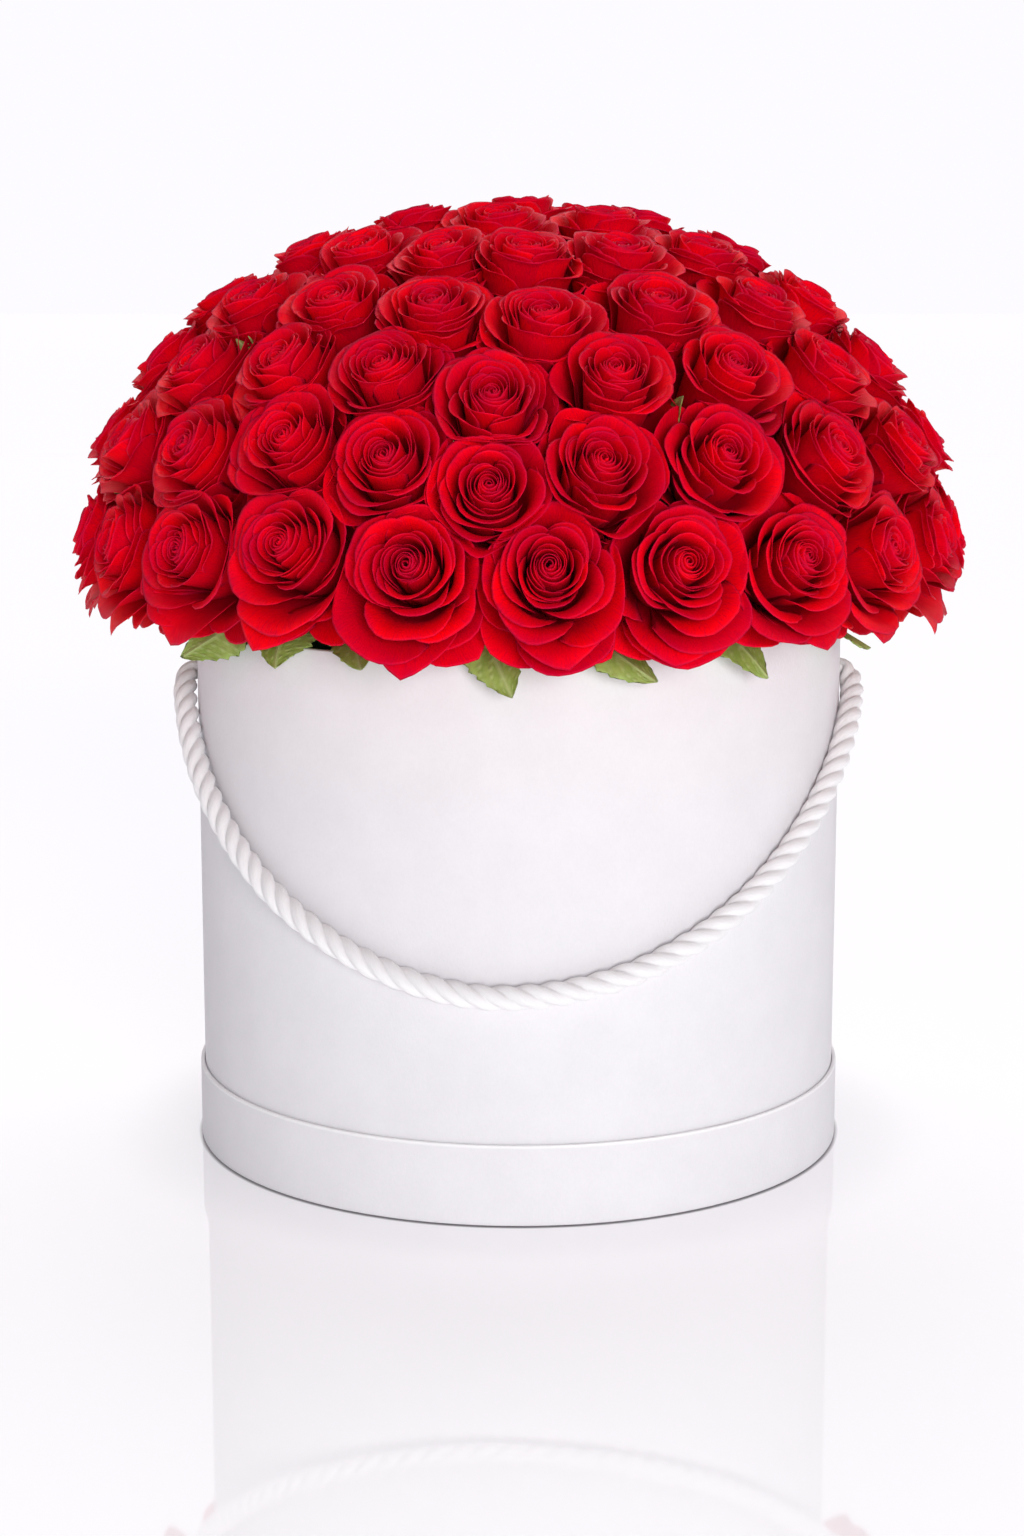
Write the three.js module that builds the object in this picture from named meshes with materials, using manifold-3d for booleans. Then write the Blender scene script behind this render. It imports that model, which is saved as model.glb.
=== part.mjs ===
// A round paper-covered hat box, standing in its own upturned lid, with a rope handle,
// and filled with a dome of cut roses whose stems are pushed into floral foam.
// Millimetres, +Z up, +X right, -Y front. The origin is the centre of the lid's underside.
import * as THREE from "three";
import { mergeVertices } from "three/addons/utils/BufferGeometryUtils.js";
import Module from "manifold-3d";

const wasm = await Module();
wasm.setup();

// Box and lid
const BOX_RADIUS = 150;
const RIM_HEIGHT = 246;
const BOARD = 2.1;
const PAPER = 0.3;
const GLUE_GAP = 0.15;
const REST_GAP = 0.3;
const TURN_IN = 40;
const LINING_STOPS_BELOW_RIM = 6;
const LID_HEIGHT = 36;
const LID_RIM_BOARD = 0.9;
const LID_TURN_IN = 16;
const LID_FLOOR_BOARD = 2;

// Rope handle
const ROPE_RADIUS = 5;
const ROPE_SIDES = 8;
const ROPE_STEPS = 48;
const HOLE_HEIGHT = 222;
const HOLE_PIVOT_RADIUS = 148.3;
const HOLE_RADIUS = 6.6;
const HOLE_SIDES = 12;
const DRILL_LENGTH = 30;
const ROPE_LEAVES = new THREE.Vector3(0.8, -0.45, -0.4).normalize(); // right-hand hole, outwards
const KNOT_STARTS = 8; // behind the pivot, along the rope
const KNOT_RADIUS = 8;
const KNOT_LENGTH = 14;
const KNOT_SIDES = 10;
const KNOT_PROFILE = [
  // shares of the knot's radius and of its length, from its free end to the rope
  [0, 1],
  [0.55, 1],
  [1, 0.65],
  [1, 0.4],
  [0.65, 0],
  [0, 0],
];
// From inside the right-hand hole, down across the front of the box, to the left-hand hole
const ROPE_ROUTE = [
  [142.1, 3.5, 225.1],
  [148.3, 0, 222],
  [153.9, -3.2, 219.2],
  [156.4, -9.5, 215.5],
  [156.4, -18, 211.5],
  [153.9, -29, 207],
  [150.6, -40, 202],
  [143.2, -60.8, 186.5],
  [130.5, -84.7, 168],
  [114.9, -104.9, 150.5],
  [95.8, -122.6, 134.5],
  [73.8, -137, 121.5],
  [47.6, -148.1, 110.8],
  [16.3, -154.8, 104],
  [-14.4, -155, 102.3],
  [-43.4, -149.5, 107],
  [-66.3, -140.8, 114.5],
  [-87.9, -128.5, 125],
  [-107.3, -112.8, 138],
  [-123.6, -94.6, 153.5],
  [-136.6, -74.6, 170],
  [-145.3, -55.8, 184.5],
  [-150.8, -39, 198],
  [-153.9, -28, 205.5],
  [-156.3, -18, 211],
  [-156.4, -9.5, 215.5],
  [-153.9, -3.2, 219.2],
  [-148.3, 0, 222],
  [-142.1, 3.5, 225.1],
].map((p) => new THREE.Vector3(...p));

// What stands in the box
const FILLER_RADIUS = 118;
const FILLER_HEIGHT = 112;
const LINER_RADIUS = 121;
const LINER_WALL = 0.8;
const LINER_LIP = 2;
const LINER_TOP = 200;
const FOAM_RADIUS = 112;
const FOAM_DOME_RISE = 83;
const FOAM_DOME_STEPS = 4;

// The dome of roses: the blooms' faces lie on an oblate half-ellipsoid
const DOME_CENTRE = 277;
const DOME_RADIUS = 203;
const DOME_RISE = 160;
const ARRANGING_WAVES = 3; // slow waves in the spacing round a ring, as hand-set stems have
const ARRANGING_PHASE = 8;
const RINGS = [
  { name: "row1", latitude: 5, count: 22, turn: 3.4, wave: 0, groups: 11, stemEnd: 105 },
  { name: "row2", latitude: 21, count: 22, turn: -2.5, wave: 3.8, groups: 11, stemEnd: 112 },
  { name: "row3", latitude: 35, count: 19, turn: -3, wave: 2.5, groups: 7, stemEnd: 112 },
  { name: "row4", latitude: 48, count: 16, turn: 6, wave: 3, groups: 8, stemEnd: 112 },
  { name: "row5", latitude: 61, count: 14, turn: 3.5, wave: 3, groups: 7, stemEnd: 110 },
];
const CROWN_RING = { latitude: 74, count: 7, turn: -9.7, wave: 0, stemEnd: 108 };
const CROWN_TOP = { latitude: 90, count: 1, turn: 0, wave: 0, stemEnd: 107 };
// Places where the rows sag or rise a little, in degrees of latitude
const SAG = { at: -2, width: 9, by: -4.5, between: [15, 50] };
const RISE = { at: -31, width: 9, by: 2.5, between: [0, 40] };

// One rose: the bloom's radius against the distance behind its face
const BLOOM_SIDES = 6;
const BLOOM_WIDEST = { radius: 29.5, depth: 15 };
const BLOOM_PROFILE = [
  [0, 46],
  [BLOOM_WIDEST.radius, BLOOM_WIDEST.depth],
  [19, 0],
  [0, 0],
];
const PETAL_GAP = 0.4;
const BRIDGE_OVERLAP = 3;
const BRIDGE_RADIUS = 6;
const STEM_RADIUS = 2.5;
const STEM_SIDES = 4;
const STEM_STARTS = 42;
const STEM_HOLE_RADIUS = 3;
const STEM_HOLE_EXTRA = 0.4;

const ROUND_SIDES = 40;
const DEGREE = Math.PI / 180;

const material = (color, roughness) =>
  new THREE.MeshStandardMaterial({ color, roughness, metalness: 0 });
const WHITE_PAPER = material(0xf3f1f5, 0.7);
const GREYBOARD = material(0x9a958c, 0.95);
const LINING_PAPER = material(0xe9e7ea, 0.85);
const COTTON = material(0xf5f2ee, 0.8);
const PLASTIC = material(0xdfe3e6, 0.35);
const CORRUGATED_CARD = material(0xb08d5f, 0.9);
const FOAM_GREEN = material(0x2f5a3a, 1);
const ROSE_RED = material(0xb3001b, 0.6);

const box = new THREE.Group();

function addPiece(name, geometry, pieceMaterial) {
  const mesh = new THREE.Mesh(geometry, pieceMaterial);
  mesh.name = name;
  box.add(mesh);
}

// A solid of revolution about Z from [radius, height] points, which end on the axis or close.
function turned(points, sides = ROUND_SIDES) {
  const profile = points.map(([r, z]) => new THREE.Vector2(r, z));
  const closesOnAxis = points[0][0] === 0 && points.at(-1)[0] === 0;
  if (!closesOnAxis) profile.push(profile[0].clone());
  return new THREE.LatheGeometry(profile, sides).rotateX(Math.PI / 2);
}

function disc(radius, from, to) {
  return turned([
    [0, from],
    [radius, from],
    [radius, to],
    [0, to],
  ]);
}

function sleeve(inside, outside, from, to) {
  return turned([
    [inside, from],
    [outside, from],
    [outside, to],
    [inside, to],
  ]);
}

function toSolid(geometry) {
  const bare = geometry.clone();
  bare.deleteAttribute("normal");
  bare.deleteAttribute("uv");
  const merged = mergeVertices(bare, 1e-4);
  return new wasm.Manifold(
    new wasm.Mesh({
      numProp: 3,
      vertProperties: merged.attributes.position.array,
      triVerts: new Uint32Array(merged.index.array),
    }),
  );
}

function toGeometry(solid) {
  const mesh = solid.getMesh();
  const geometry = new THREE.BufferGeometry();
  geometry.setAttribute("position", new THREE.BufferAttribute(mesh.vertProperties, 3));
  geometry.setIndex(new THREE.BufferAttribute(mesh.triVerts, 1));
  geometry.computeVertexNormals();
  return geometry;
}

// Stands a shape made along Z on a point, with its axis in a direction and its +X side towards aside.
function placed(geometry, at, direction, aside) {
  const z = direction.clone().normalize();
  const y = new THREE.Vector3().crossVectors(z, aside).normalize();
  const x = new THREE.Vector3().crossVectors(y, z);
  const frame = new THREE.Matrix4().makeBasis(x, y, z).setPosition(at);
  return geometry.clone().applyMatrix4(frame);
}

// Lid, upside down under the box

const lidInside = BOX_RADIUS + REST_GAP;
const lidRadius = lidInside + 2 * PAPER + 2 * GLUE_GAP + LID_RIM_BOARD;
const lidFloorFrom = PAPER + GLUE_GAP;
const lidFloorTo = lidFloorFrom + LID_FLOOR_BOARD;
const lidRimInside = lidInside + PAPER + GLUE_GAP;

addPiece(
  "lid_wrap",
  turned([
    [0, 0],
    [lidRadius, 0],
    [lidRadius, LID_HEIGHT],
    [lidInside, LID_HEIGHT],
    [lidInside, LID_HEIGHT - LID_TURN_IN],
    [lidInside + PAPER, LID_HEIGHT - LID_TURN_IN],
    [lidInside + PAPER, LID_HEIGHT - PAPER],
    [lidRadius - PAPER, LID_HEIGHT - PAPER],
    [lidRadius - PAPER, PAPER],
    [0, PAPER],
  ]),
  WHITE_PAPER,
);
addPiece("lid_disc", disc(lidInside, lidFloorFrom, lidFloorTo), GREYBOARD);
addPiece(
  "lid_rim",
  sleeve(
    lidRimInside,
    lidRimInside + LID_RIM_BOARD,
    lidFloorFrom,
    LID_HEIGHT - PAPER - GLUE_GAP,
  ),
  GREYBOARD,
);

// Box

const boxFrom = lidFloorTo + REST_GAP;
const wallFrom = boxFrom + PAPER + GLUE_GAP;
const wallOutside = BOX_RADIUS - PAPER - GLUE_GAP;
const wallInside = wallOutside - BOARD;
const turnInOutside = wallInside - GLUE_GAP;
const turnInInside = turnInOutside - PAPER;
const liningOutside = turnInInside - GLUE_GAP;
const floorTo = wallFrom + BOARD;

// Two slanted round holes, one each side, where the rope leaves the wall.
const ropeHoles = [1, -1].map((side) => {
  const direction = ROPE_LEAVES.clone();
  direction.x *= side;
  const pivot = new THREE.Vector3(side * HOLE_PIVOT_RADIUS, 0, HOLE_HEIGHT);
  const drill = new THREE.CylinderGeometry(HOLE_RADIUS, HOLE_RADIUS, DRILL_LENGTH, HOLE_SIDES);
  drill.rotateX(Math.PI / 2);
  return toSolid(placed(drill, pivot, direction, new THREE.Vector3(0, 0, 1)));
});
const drilled = (geometry) =>
  toGeometry(ropeHoles.reduce((solid, hole) => solid.subtract(hole), toSolid(geometry)));

addPiece(
  "box_wrap",
  drilled(
    turned([
      [BOX_RADIUS - PAPER, boxFrom],
      [BOX_RADIUS, boxFrom],
      [BOX_RADIUS, RIM_HEIGHT],
      [turnInInside, RIM_HEIGHT],
      [turnInInside, RIM_HEIGHT - TURN_IN],
      [turnInOutside, RIM_HEIGHT - TURN_IN],
      [turnInOutside, RIM_HEIGHT - PAPER],
      [BOX_RADIUS - PAPER, RIM_HEIGHT - PAPER],
    ]),
  ),
  WHITE_PAPER,
);
addPiece(
  "box_tube",
  drilled(sleeve(wallInside, wallOutside, wallFrom, RIM_HEIGHT - PAPER - GLUE_GAP)),
  GREYBOARD,
);
addPiece(
  "box_lining",
  drilled(
    sleeve(
      liningOutside - PAPER,
      liningOutside,
      floorTo + GLUE_GAP,
      RIM_HEIGHT - LINING_STOPS_BELOW_RIM,
    ),
  ),
  LINING_PAPER,
);
addPiece("box_bottom", disc(turnInOutside, wallFrom, floorTo), GREYBOARD);
addPiece("box_base_paper", disc(wallOutside - GLUE_GAP, boxFrom, boxFrom + PAPER), LINING_PAPER);

// Rope handle, with a knot behind each hole

const ropeSection = new THREE.Shape(
  Array.from({ length: ROPE_SIDES }, (_, i) => {
    const angle = (2 * Math.PI * i) / ROPE_SIDES;
    return new THREE.Vector2(ROPE_RADIUS * Math.cos(angle), ROPE_RADIUS * Math.sin(angle));
  }),
);
addPiece(
  "rope",
  new THREE.ExtrudeGeometry(ropeSection, {
    steps: ROPE_STEPS,
    extrudePath: new THREE.CatmullRomCurve3(ROPE_ROUTE, false, "centripetal"),
    bevelEnabled: false,
  }),
  COTTON,
);

const knotShape = turned(
  KNOT_PROFILE.map(([across, behind]) => [across * KNOT_RADIUS, -behind * KNOT_LENGTH]),
  KNOT_SIDES,
);
for (const [name, side] of [
  ["knot_right", 1],
  ["knot_left", -1],
]) {
  const direction = ROPE_LEAVES.clone();
  direction.x *= side;
  const front = new THREE.Vector3(side * HOLE_PIVOT_RADIUS, 0, HOLE_HEIGHT);
  front.addScaledVector(direction, -KNOT_STARTS);
  addPiece(name, placed(knotShape, front, direction, new THREE.Vector3(0, 0, 1)), COTTON);
}

// Filler block and waterproof liner pot

const fillerFrom = floorTo + REST_GAP;
const linerFrom = fillerFrom + FILLER_HEIGHT + REST_GAP;
addPiece("filler_block", disc(FILLER_RADIUS, fillerFrom, fillerFrom + FILLER_HEIGHT), CORRUGATED_CARD);
addPiece(
  "liner",
  turned([
    [0, linerFrom],
    [LINER_RADIUS, linerFrom],
    [LINER_RADIUS, LINER_TOP - LINER_LIP],
    [LINER_RADIUS + LINER_LIP, LINER_TOP - LINER_LIP],
    [LINER_RADIUS + LINER_LIP, LINER_TOP],
    [LINER_RADIUS - LINER_WALL, LINER_TOP],
    [LINER_RADIUS - LINER_WALL, linerFrom + LINER_WALL],
    [0, linerFrom + LINER_WALL],
  ]),
  PLASTIC,
);

// Roses

const gaussian = (x, width) => Math.exp(-((x / width) ** 2));

function nudged(latitude, azimuth, place) {
  const [lowest, highest] = place.between;
  if (latitude < lowest || latitude > highest) return 0;
  return place.by * gaussian(azimuth - place.at, place.width);
}

// Places the roses of one ring: where each face is, which way it looks, and along the ring.
function rosesOfRing(ring) {
  return Array.from({ length: ring.count }, (_, i) => {
    let even = ring.turn + (i * 360) / ring.count;
    if (even > 180) even -= 360;
    const wave = Math.sin(ARRANGING_WAVES * (even + ARRANGING_PHASE) * DEGREE);
    const azimuth = even - ring.wave * wave;
    const shift = nudged(ring.latitude, azimuth, SAG) + nudged(ring.latitude, azimuth, RISE);
    const latitude = (ring.latitude + shift) * DEGREE;
    const around = azimuth * DEGREE;
    const outwards = new THREE.Vector3(Math.sin(around), -Math.cos(around), 0);
    const face = outwards.clone().multiplyScalar(DOME_RADIUS * Math.cos(latitude));
    face.z = DOME_CENTRE + DOME_RISE * Math.sin(latitude);
    const looks = outwards.clone().multiplyScalar(Math.cos(latitude) / DOME_RADIUS);
    looks.z = Math.sin(latitude) / DOME_RISE;
    looks.normalize();
    const along = new THREE.Vector3(Math.cos(around), Math.sin(around), 0);
    const widest = face.clone().addScaledVector(looks, -BLOOM_WIDEST.depth);
    return { face, looks, along, widest, stemEnd: ring.stemEnd };
  });
}

// Shares a ring's roses out into groups of neighbours, as evenly as possible.
function grouped(roses, groups) {
  const start = (g) => Math.round((g * roses.length) / groups);
  return Array.from({ length: groups }, (_, g) => roses.slice(start(g), start(g + 1)));
}

const bloomShape = turned(
  BLOOM_PROFILE.map(([radius, depth]) => [radius, -depth]),
  BLOOM_SIDES,
).rotateZ(Math.PI / 2);

function rod(rose, radius, from, to) {
  const length = to - from;
  const shape = new THREE.CylinderGeometry(radius, radius, length, STEM_SIDES);
  shape.rotateX(Math.PI / 2).translate(0, 0, -from - length / 2);
  return toSolid(placed(shape, rose.face, rose.looks, rose.along));
}

// A bloom pressed flat where it meets a neighbour that isn't in its own group.
function bloom(rose, neighbours) {
  let solid = toSolid(placed(bloomShape, rose.face, rose.looks, rose.along));
  for (const other of neighbours) {
    const apart = rose.widest.clone().sub(other.widest);
    if (apart.length() > 2 * BLOOM_WIDEST.radius + PETAL_GAP) continue;
    const middle = rose.widest.clone().add(other.widest).multiplyScalar(0.5);
    const normal = apart.normalize();
    solid = solid.trimByPlane(normal.toArray(), normal.dot(middle) + PETAL_GAP / 2);
  }
  return solid;
}

// Petals that bridge the space between two neighbours of a group whose blooms don't quite meet.
function bridge(rose, next) {
  const span = next.widest.clone().sub(rose.widest);
  if (span.length() < 2 * BLOOM_WIDEST.radius - BRIDGE_OVERLAP) return [];
  const shape = new THREE.CylinderGeometry(BRIDGE_RADIUS, BRIDGE_RADIUS, span.length(), STEM_SIDES);
  shape.rotateX(Math.PI / 2).translate(0, 0, span.length() / 2);
  return [toSolid(placed(shape, rose.widest, span, rose.looks))];
}

// Blooms joined to their stems, a group of neighbours to a piece

const rows = RINGS.map((ring) => ({
  name: ring.name,
  groups: grouped(rosesOfRing(ring), ring.groups),
}));
rows.push({ name: "crown", groups: [[...rosesOfRing(CROWN_RING), ...rosesOfRing(CROWN_TOP)]] });
const allRoses = rows.flatMap((row) => row.groups.flat());

for (const row of rows) {
  row.groups.forEach((group, index) => {
    const others = allRoses.filter((rose) => !group.includes(rose));
    const pieces = group.flatMap((rose, place) => [
      bloom(rose, others),
      rod(rose, STEM_RADIUS, STEM_STARTS, rose.stemEnd),
      ...(place > 0 ? bridge(group[place - 1], rose) : []),
    ]);
    const joined = pieces.reduce((whole, piece) => whole.add(piece));
    const number = String(index + 1).padStart(2, "0");
    addPiece(`roses_${row.name}_${number}`, toGeometry(joined), ROSE_RED);
  });
}

// Floral foam, domed above the rim, with a hole for every stem

const foamDome = Array.from({ length: FOAM_DOME_STEPS + 1 }, (_, i) => {
  const latitude = (i * Math.PI) / (2 * FOAM_DOME_STEPS);
  const radius = i === FOAM_DOME_STEPS ? 0 : FOAM_RADIUS * Math.cos(latitude);
  return [radius, DOME_CENTRE + FOAM_DOME_RISE * Math.sin(latitude)];
});
const foamFrom = linerFrom + LINER_WALL + REST_GAP;
const foamBlock = toSolid(turned([[0, foamFrom], [FOAM_RADIUS, foamFrom], ...foamDome]));
const stemHoles = allRoses.map((rose) =>
  rod(rose, STEM_HOLE_RADIUS, STEM_STARTS, rose.stemEnd + STEM_HOLE_EXTRA),
);
addPiece(
  "foam",
  toGeometry(stemHoles.reduce((solid, hole) => solid.subtract(hole), foamBlock)),
  FOAM_GREEN,
);

export default box;
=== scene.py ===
"""A round paper-covered hat box of red roses, standing in its own upturned lid, with a rope handle.

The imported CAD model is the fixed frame, and every piece made here rides on one of its bodies.
Shapes are worked out in millimetres and become metres when a piece is made. +Z is up, -Y is the front.
"""

import math

import bpy
import numpy as np
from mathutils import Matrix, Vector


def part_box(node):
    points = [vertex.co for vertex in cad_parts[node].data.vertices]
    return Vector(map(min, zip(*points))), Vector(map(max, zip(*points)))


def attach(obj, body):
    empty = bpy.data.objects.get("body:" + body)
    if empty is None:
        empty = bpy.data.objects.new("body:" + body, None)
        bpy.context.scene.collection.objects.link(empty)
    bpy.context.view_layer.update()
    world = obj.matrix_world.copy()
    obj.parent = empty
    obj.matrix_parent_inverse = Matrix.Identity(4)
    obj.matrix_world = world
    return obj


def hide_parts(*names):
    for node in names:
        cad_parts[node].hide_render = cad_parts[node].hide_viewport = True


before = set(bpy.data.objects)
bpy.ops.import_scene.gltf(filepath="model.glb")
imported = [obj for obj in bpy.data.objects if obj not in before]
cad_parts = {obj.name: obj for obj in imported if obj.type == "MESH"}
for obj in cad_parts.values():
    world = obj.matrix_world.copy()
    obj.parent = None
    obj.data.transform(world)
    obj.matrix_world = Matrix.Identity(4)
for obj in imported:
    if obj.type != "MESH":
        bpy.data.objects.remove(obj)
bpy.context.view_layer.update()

MM = 0.001
UP = np.array([0, 0, 1.0])


def extent(node):
    """A round CAD node's radius, lowest height and highest height, in millimetres."""
    low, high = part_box(node)
    return high.x / MM, low.z / MM, high.z / MM


# Sizes from the frame
BOX_RADIUS, BOX_FROM, RIM_HEIGHT = extent("box_wrap")
LID_RADIUS, _, LID_HEIGHT = extent("lid_wrap")
LINER_OUTSIDE, LINER_FROM, LINER_TOP = extent("liner")
FOAM_RADIUS, FOAM_FROM, FOAM_TOP = extent("foam")
FILLER_RADIUS, FILLER_FROM, FILLER_TO = extent("filler_block")
BOTTOM_RADIUS, BOTTOM_FROM, BOTTOM_TO = extent("box_bottom")
TUBE_OUTSIDE, TUBE_FROM, TUBE_TO = extent("box_tube")
LINING_OUTSIDE, LINING_FROM, LINING_TO = extent("box_lining")
BASE_PAPER_RADIUS, BASE_PAPER_FROM, BASE_PAPER_TO = extent("box_base_paper")
LID_DISC_RADIUS, LID_DISC_FROM, LID_DISC_TO = extent("lid_disc")
LID_RIM_OUTSIDE, LID_RIM_FROM, LID_RIM_TO = extent("lid_rim")

# Paper and board, as in the CAD model
PAPER = 0.3
GLUE_GAP = 0.15
BOARD = 2.1
TURN_IN = 40
LID_RIM_BOARD = 0.9
LID_TURN_IN = 16
FOLD_HIGHLIGHT_WIDTH = 1.6  # the strip round the lid's folded edge where the paper is painted whiter, a painted highlight
REST_GAP = 0.3
ROUND_STEPS = 256
SEAM_WIDTH = 14
SEAM_PROUD = 0.22
SEAM_EDGE = 1.2  # how gently the overlap's edges rise
PAPER_FOLD_RADIUS = 0.9
LID_EDGE_RADII = [0.8, 0.8, 0.1, 0.9, 0.12]  # from the middle of the underside to the inside of the fold
BOARD_EDGE_RADIUS = 0.25
LID_RIM_EDGE_RADIUS = 0.2
DISC_EDGE_RADIUS = 0.3
THIN_EDGE_RADIUS = 0.1

# Camera
IMAGE_HEIGHT = 1536
FOCAL_LENGTH_PIXELS = 2709
SENSOR = 36
CAMERA_PLACE = (-3.06, -1262.7, 401.1)
CAMERA_PITCH_DOWN = 10.25

# Rope
HOLE_HEIGHT = 222
HOLE_PIVOT_RADIUS = 148.3
HOLE_RADIUS = 6.6
HOLE_BAND = (HOLE_HEIGHT - 13, HOLE_HEIGHT + 13)  # heights clear of the holes, below and above
DRILL_REACH = 16
DRILL_SIDES = 48
SHARP_FROM = math.radians(35)
ROPE_LEAVES = (0.8, -0.45, -0.4)
# From inside the right-hand hole, down across the front of the box, to the left-hand hole
ROPE_ROUTE = [
    [142.1, 3.5, 225.1], [148.3, 0, 222], [153.9, -3.2, 219.2], [155.3, -9.5, 215.5],
    [154.8, -18, 211.5], [152.9, -29, 207], [150.6, -40, 202], [143.2, -60.8, 186.5],
    [130.5, -84.7, 168], [114.9, -104.9, 150.5], [95.8, -122.6, 134.5], [73.8, -137, 121.5],
    [47.6, -148.1, 110.8], [16.3, -154.8, 104], [-14.4, -155, 102.3], [-43.4, -149.5, 107],
    [-66.3, -140.8, 114.5], [-87.9, -128.5, 125], [-107.3, -112.8, 138], [-123.6, -94.6, 153.5],
    [-136.6, -74.6, 170], [-145.3, -55.8, 184.5], [-150.8, -39, 198], [-153.1, -28, 205.5],
    [-154.8, -18, 211], [-155.3, -9.5, 215.5], [-153.9, -3.2, 219.2], [-148.3, 0, 222],
    [-142.1, 3.5, 225.1],
]
STRANDS = 3
STRAND_OFFSET = 2.58  # from the rope's centreline to a strand's
STRAND_RADIUS = 2.95
GROOVE_FILL = 0.3  # how far the strands are pressed into each other
PITCH = 31.5  # the lay of the strands
YARNS = 9  # ridges round one strand
YARN_DEPTH = 0.12
YARN_LAY = 0.9  # radians round its strand that a yarn turns in a millimetre
PINCHED_BY = 0.13  # how much thinner the rope is where a hole squeezes it
PINCHED_WITHIN = 9
ROPE_SECTION_POINTS = 54
ROPE_STEP = 0.8
FIBRE_ALONG = 0.35  # the scale of the fibres along a strand and round it
FIBRE_ROUND = 6

# The knots, pulled tight behind the holes
KNOT_BEHIND = 8  # from the hole to the knot, and from there to the rope's cut end, along the rope
KNOT_SIZE = 2.05 / 1.5
KNOT_MIDDLE = -7
KNOT_SWING = 2.6
KNOT_STEPS = 120
KNOT_ROPE_RADIUS = 3.6
KNOT_SIDES = 18
TAIL_LENGTH = 6
TAIL_DROOP = 1.5
TAIL_RADII = [3.4, 3.5, 3.5, 3.6, 3.8, 4, 4.1, 3.4]
KNOT_FIBRE_ALONG = 0.3
KNOT_FIBRE_ROUND = 1.2

# What stands in the box
FLUTES = 110
POINTS_PER_FLUTE = 4
FLUTE_DEPTH = 1.3
FILLER_EDGE_RADIUS = 1.5
LINER_WALL = 0.8
LINER_LIP = 2
LINER_EDGE_RADIUS = 0.7
FOAM_STEPS = 30
FOAM_SIDES = 160
FOAM_EDGE_RADIUS = 1
FOAM_CARVED_BY = 0.006  # the share of its radius that the carving knife leaves uneven
FOAM_CARVED_FROM = 20  # below the dome's centre

# The dome of roses, as in the CAD model
DOME_CENTRE = 277
DOME_RADIUS = 203
DOME_RISE = 160
ARRANGING_WAVES = 3
ARRANGING_PHASE = 8
RINGS = [
    {"name": "row1", "latitude": 5, "count": 22, "turn": 3.4, "wave": 0, "groups": 11, "stem_end": 105},
    {"name": "row2", "latitude": 21, "count": 22, "turn": -2.5, "wave": 3.8, "groups": 11, "stem_end": 112},
    {"name": "row3", "latitude": 35, "count": 19, "turn": -3, "wave": 2.5, "groups": 7, "stem_end": 112},
    {"name": "row4", "latitude": 48, "count": 16, "turn": 6, "wave": 3, "groups": 8, "stem_end": 112},
    {"name": "row5", "latitude": 61, "count": 14, "turn": 3.5, "wave": 3, "groups": 7, "stem_end": 110},
    {"name": "crown", "latitude": 74, "count": 7, "turn": -9.7, "wave": 0, "groups": 1, "stem_end": 108},
    {"name": "crown", "latitude": 90, "count": 1, "turn": 0, "wave": 0, "groups": 1, "stem_end": 107},
]
SAG = {"at": -2, "width": 9, "by": -4.5, "between": (15, 50)}
RISE = {"at": -31, "width": 9, "by": 2.5, "between": (0, 40)}
BLOOM_WIDEST_DEPTH = 15

# One rose. Each pair is (rim radius, value), read between the pairs.
PETALS = 36
BACKING_PETALS = 3  # the lowest, which fill the gaps between blooms
PETAL_ROWS = (0, 0.2, 0.38, 0.54, 0.68, 0.79, 0.87, 0.93, 0.97, 1)
PETAL_COLUMNS = 15
PETAL_THICKNESS = 0.34
PETAL_HEIGHT = 42
RIM_HIGHLIGHT_WIDTH = 0.5  # the thin paler, cooler line at a petal's rim, painted as the highlight along its edge
EDGE_WIDTH = 4  # where a petal's edge bruises
GOLDEN_ANGLE = math.radians(137.508)
# The rim radius is read by place in the spiral, from its middle at 0 to its end at 1
RIM_RADIUS = [(0, 0.35), (0.22, 4.4), (0.5, 11.5), (0.73, 20), (0.87, 26.5), (1, 32)]
RIM_LEVEL = [(0, -1.8), (4, -1), (8, 0.6), (12, 0.6), (18, -1.5), (25, -6), (32, -12)]
RIM_LEAN = [(0, -26), (4, -16), (9, 4), (13, 28), (20, 56), (32, 80)]
HALF_WIDTH = [(0, 6), (12, 16), (20, 24), (32, 34)]
# How many degrees the roses of each row look up from the dome's own direction
FACES_UP = {"row1": 13, "row2": 9, "row3": 6, "row4": 4, "row5": 2, "crown": 0}
BLOOM_BASE = -40
LOWER = -math.pi / 2  # the side of a rose that faces down the dome
DROOP = 0.13  # how much further the lowest roses' open petals reach on that side

ROSE_SIZES = (1.02, 1.09)
ROSE_TILT = 0.07
ROSE_OVAL = 0.05
NEIGHBOUR_WITHIN = 75
PRESSED_FROM = 4  # before the middle between two roses, where petals begin to give way
PRESSED_STOP = 5  # past the middle, where the furthest petals stop
PRESSED_LIFT = 0.2  # how far one rose's edges slide over the other's, for each millimetre given way

# Under each bloom: (depth behind the face, radius) down the hip and the stem
STEM_RADIUS = 2.3
HIP = [(38, 3), (40, 4.6), (43, 5.2), (46, 4.6), (49, 3.2)]
STEM_DEPTHS = [51, 60, 75, 90]
STEM_SIDES = 12
SEPALS = 5
SEPAL_WIDTH = 4.2
SEPAL_LENGTHS = (20, 27)
SEPAL_THICKNESS = 0.5
SEPAL_PALENESS = 0.35
STEM_PALENESS = 0.2

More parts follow.
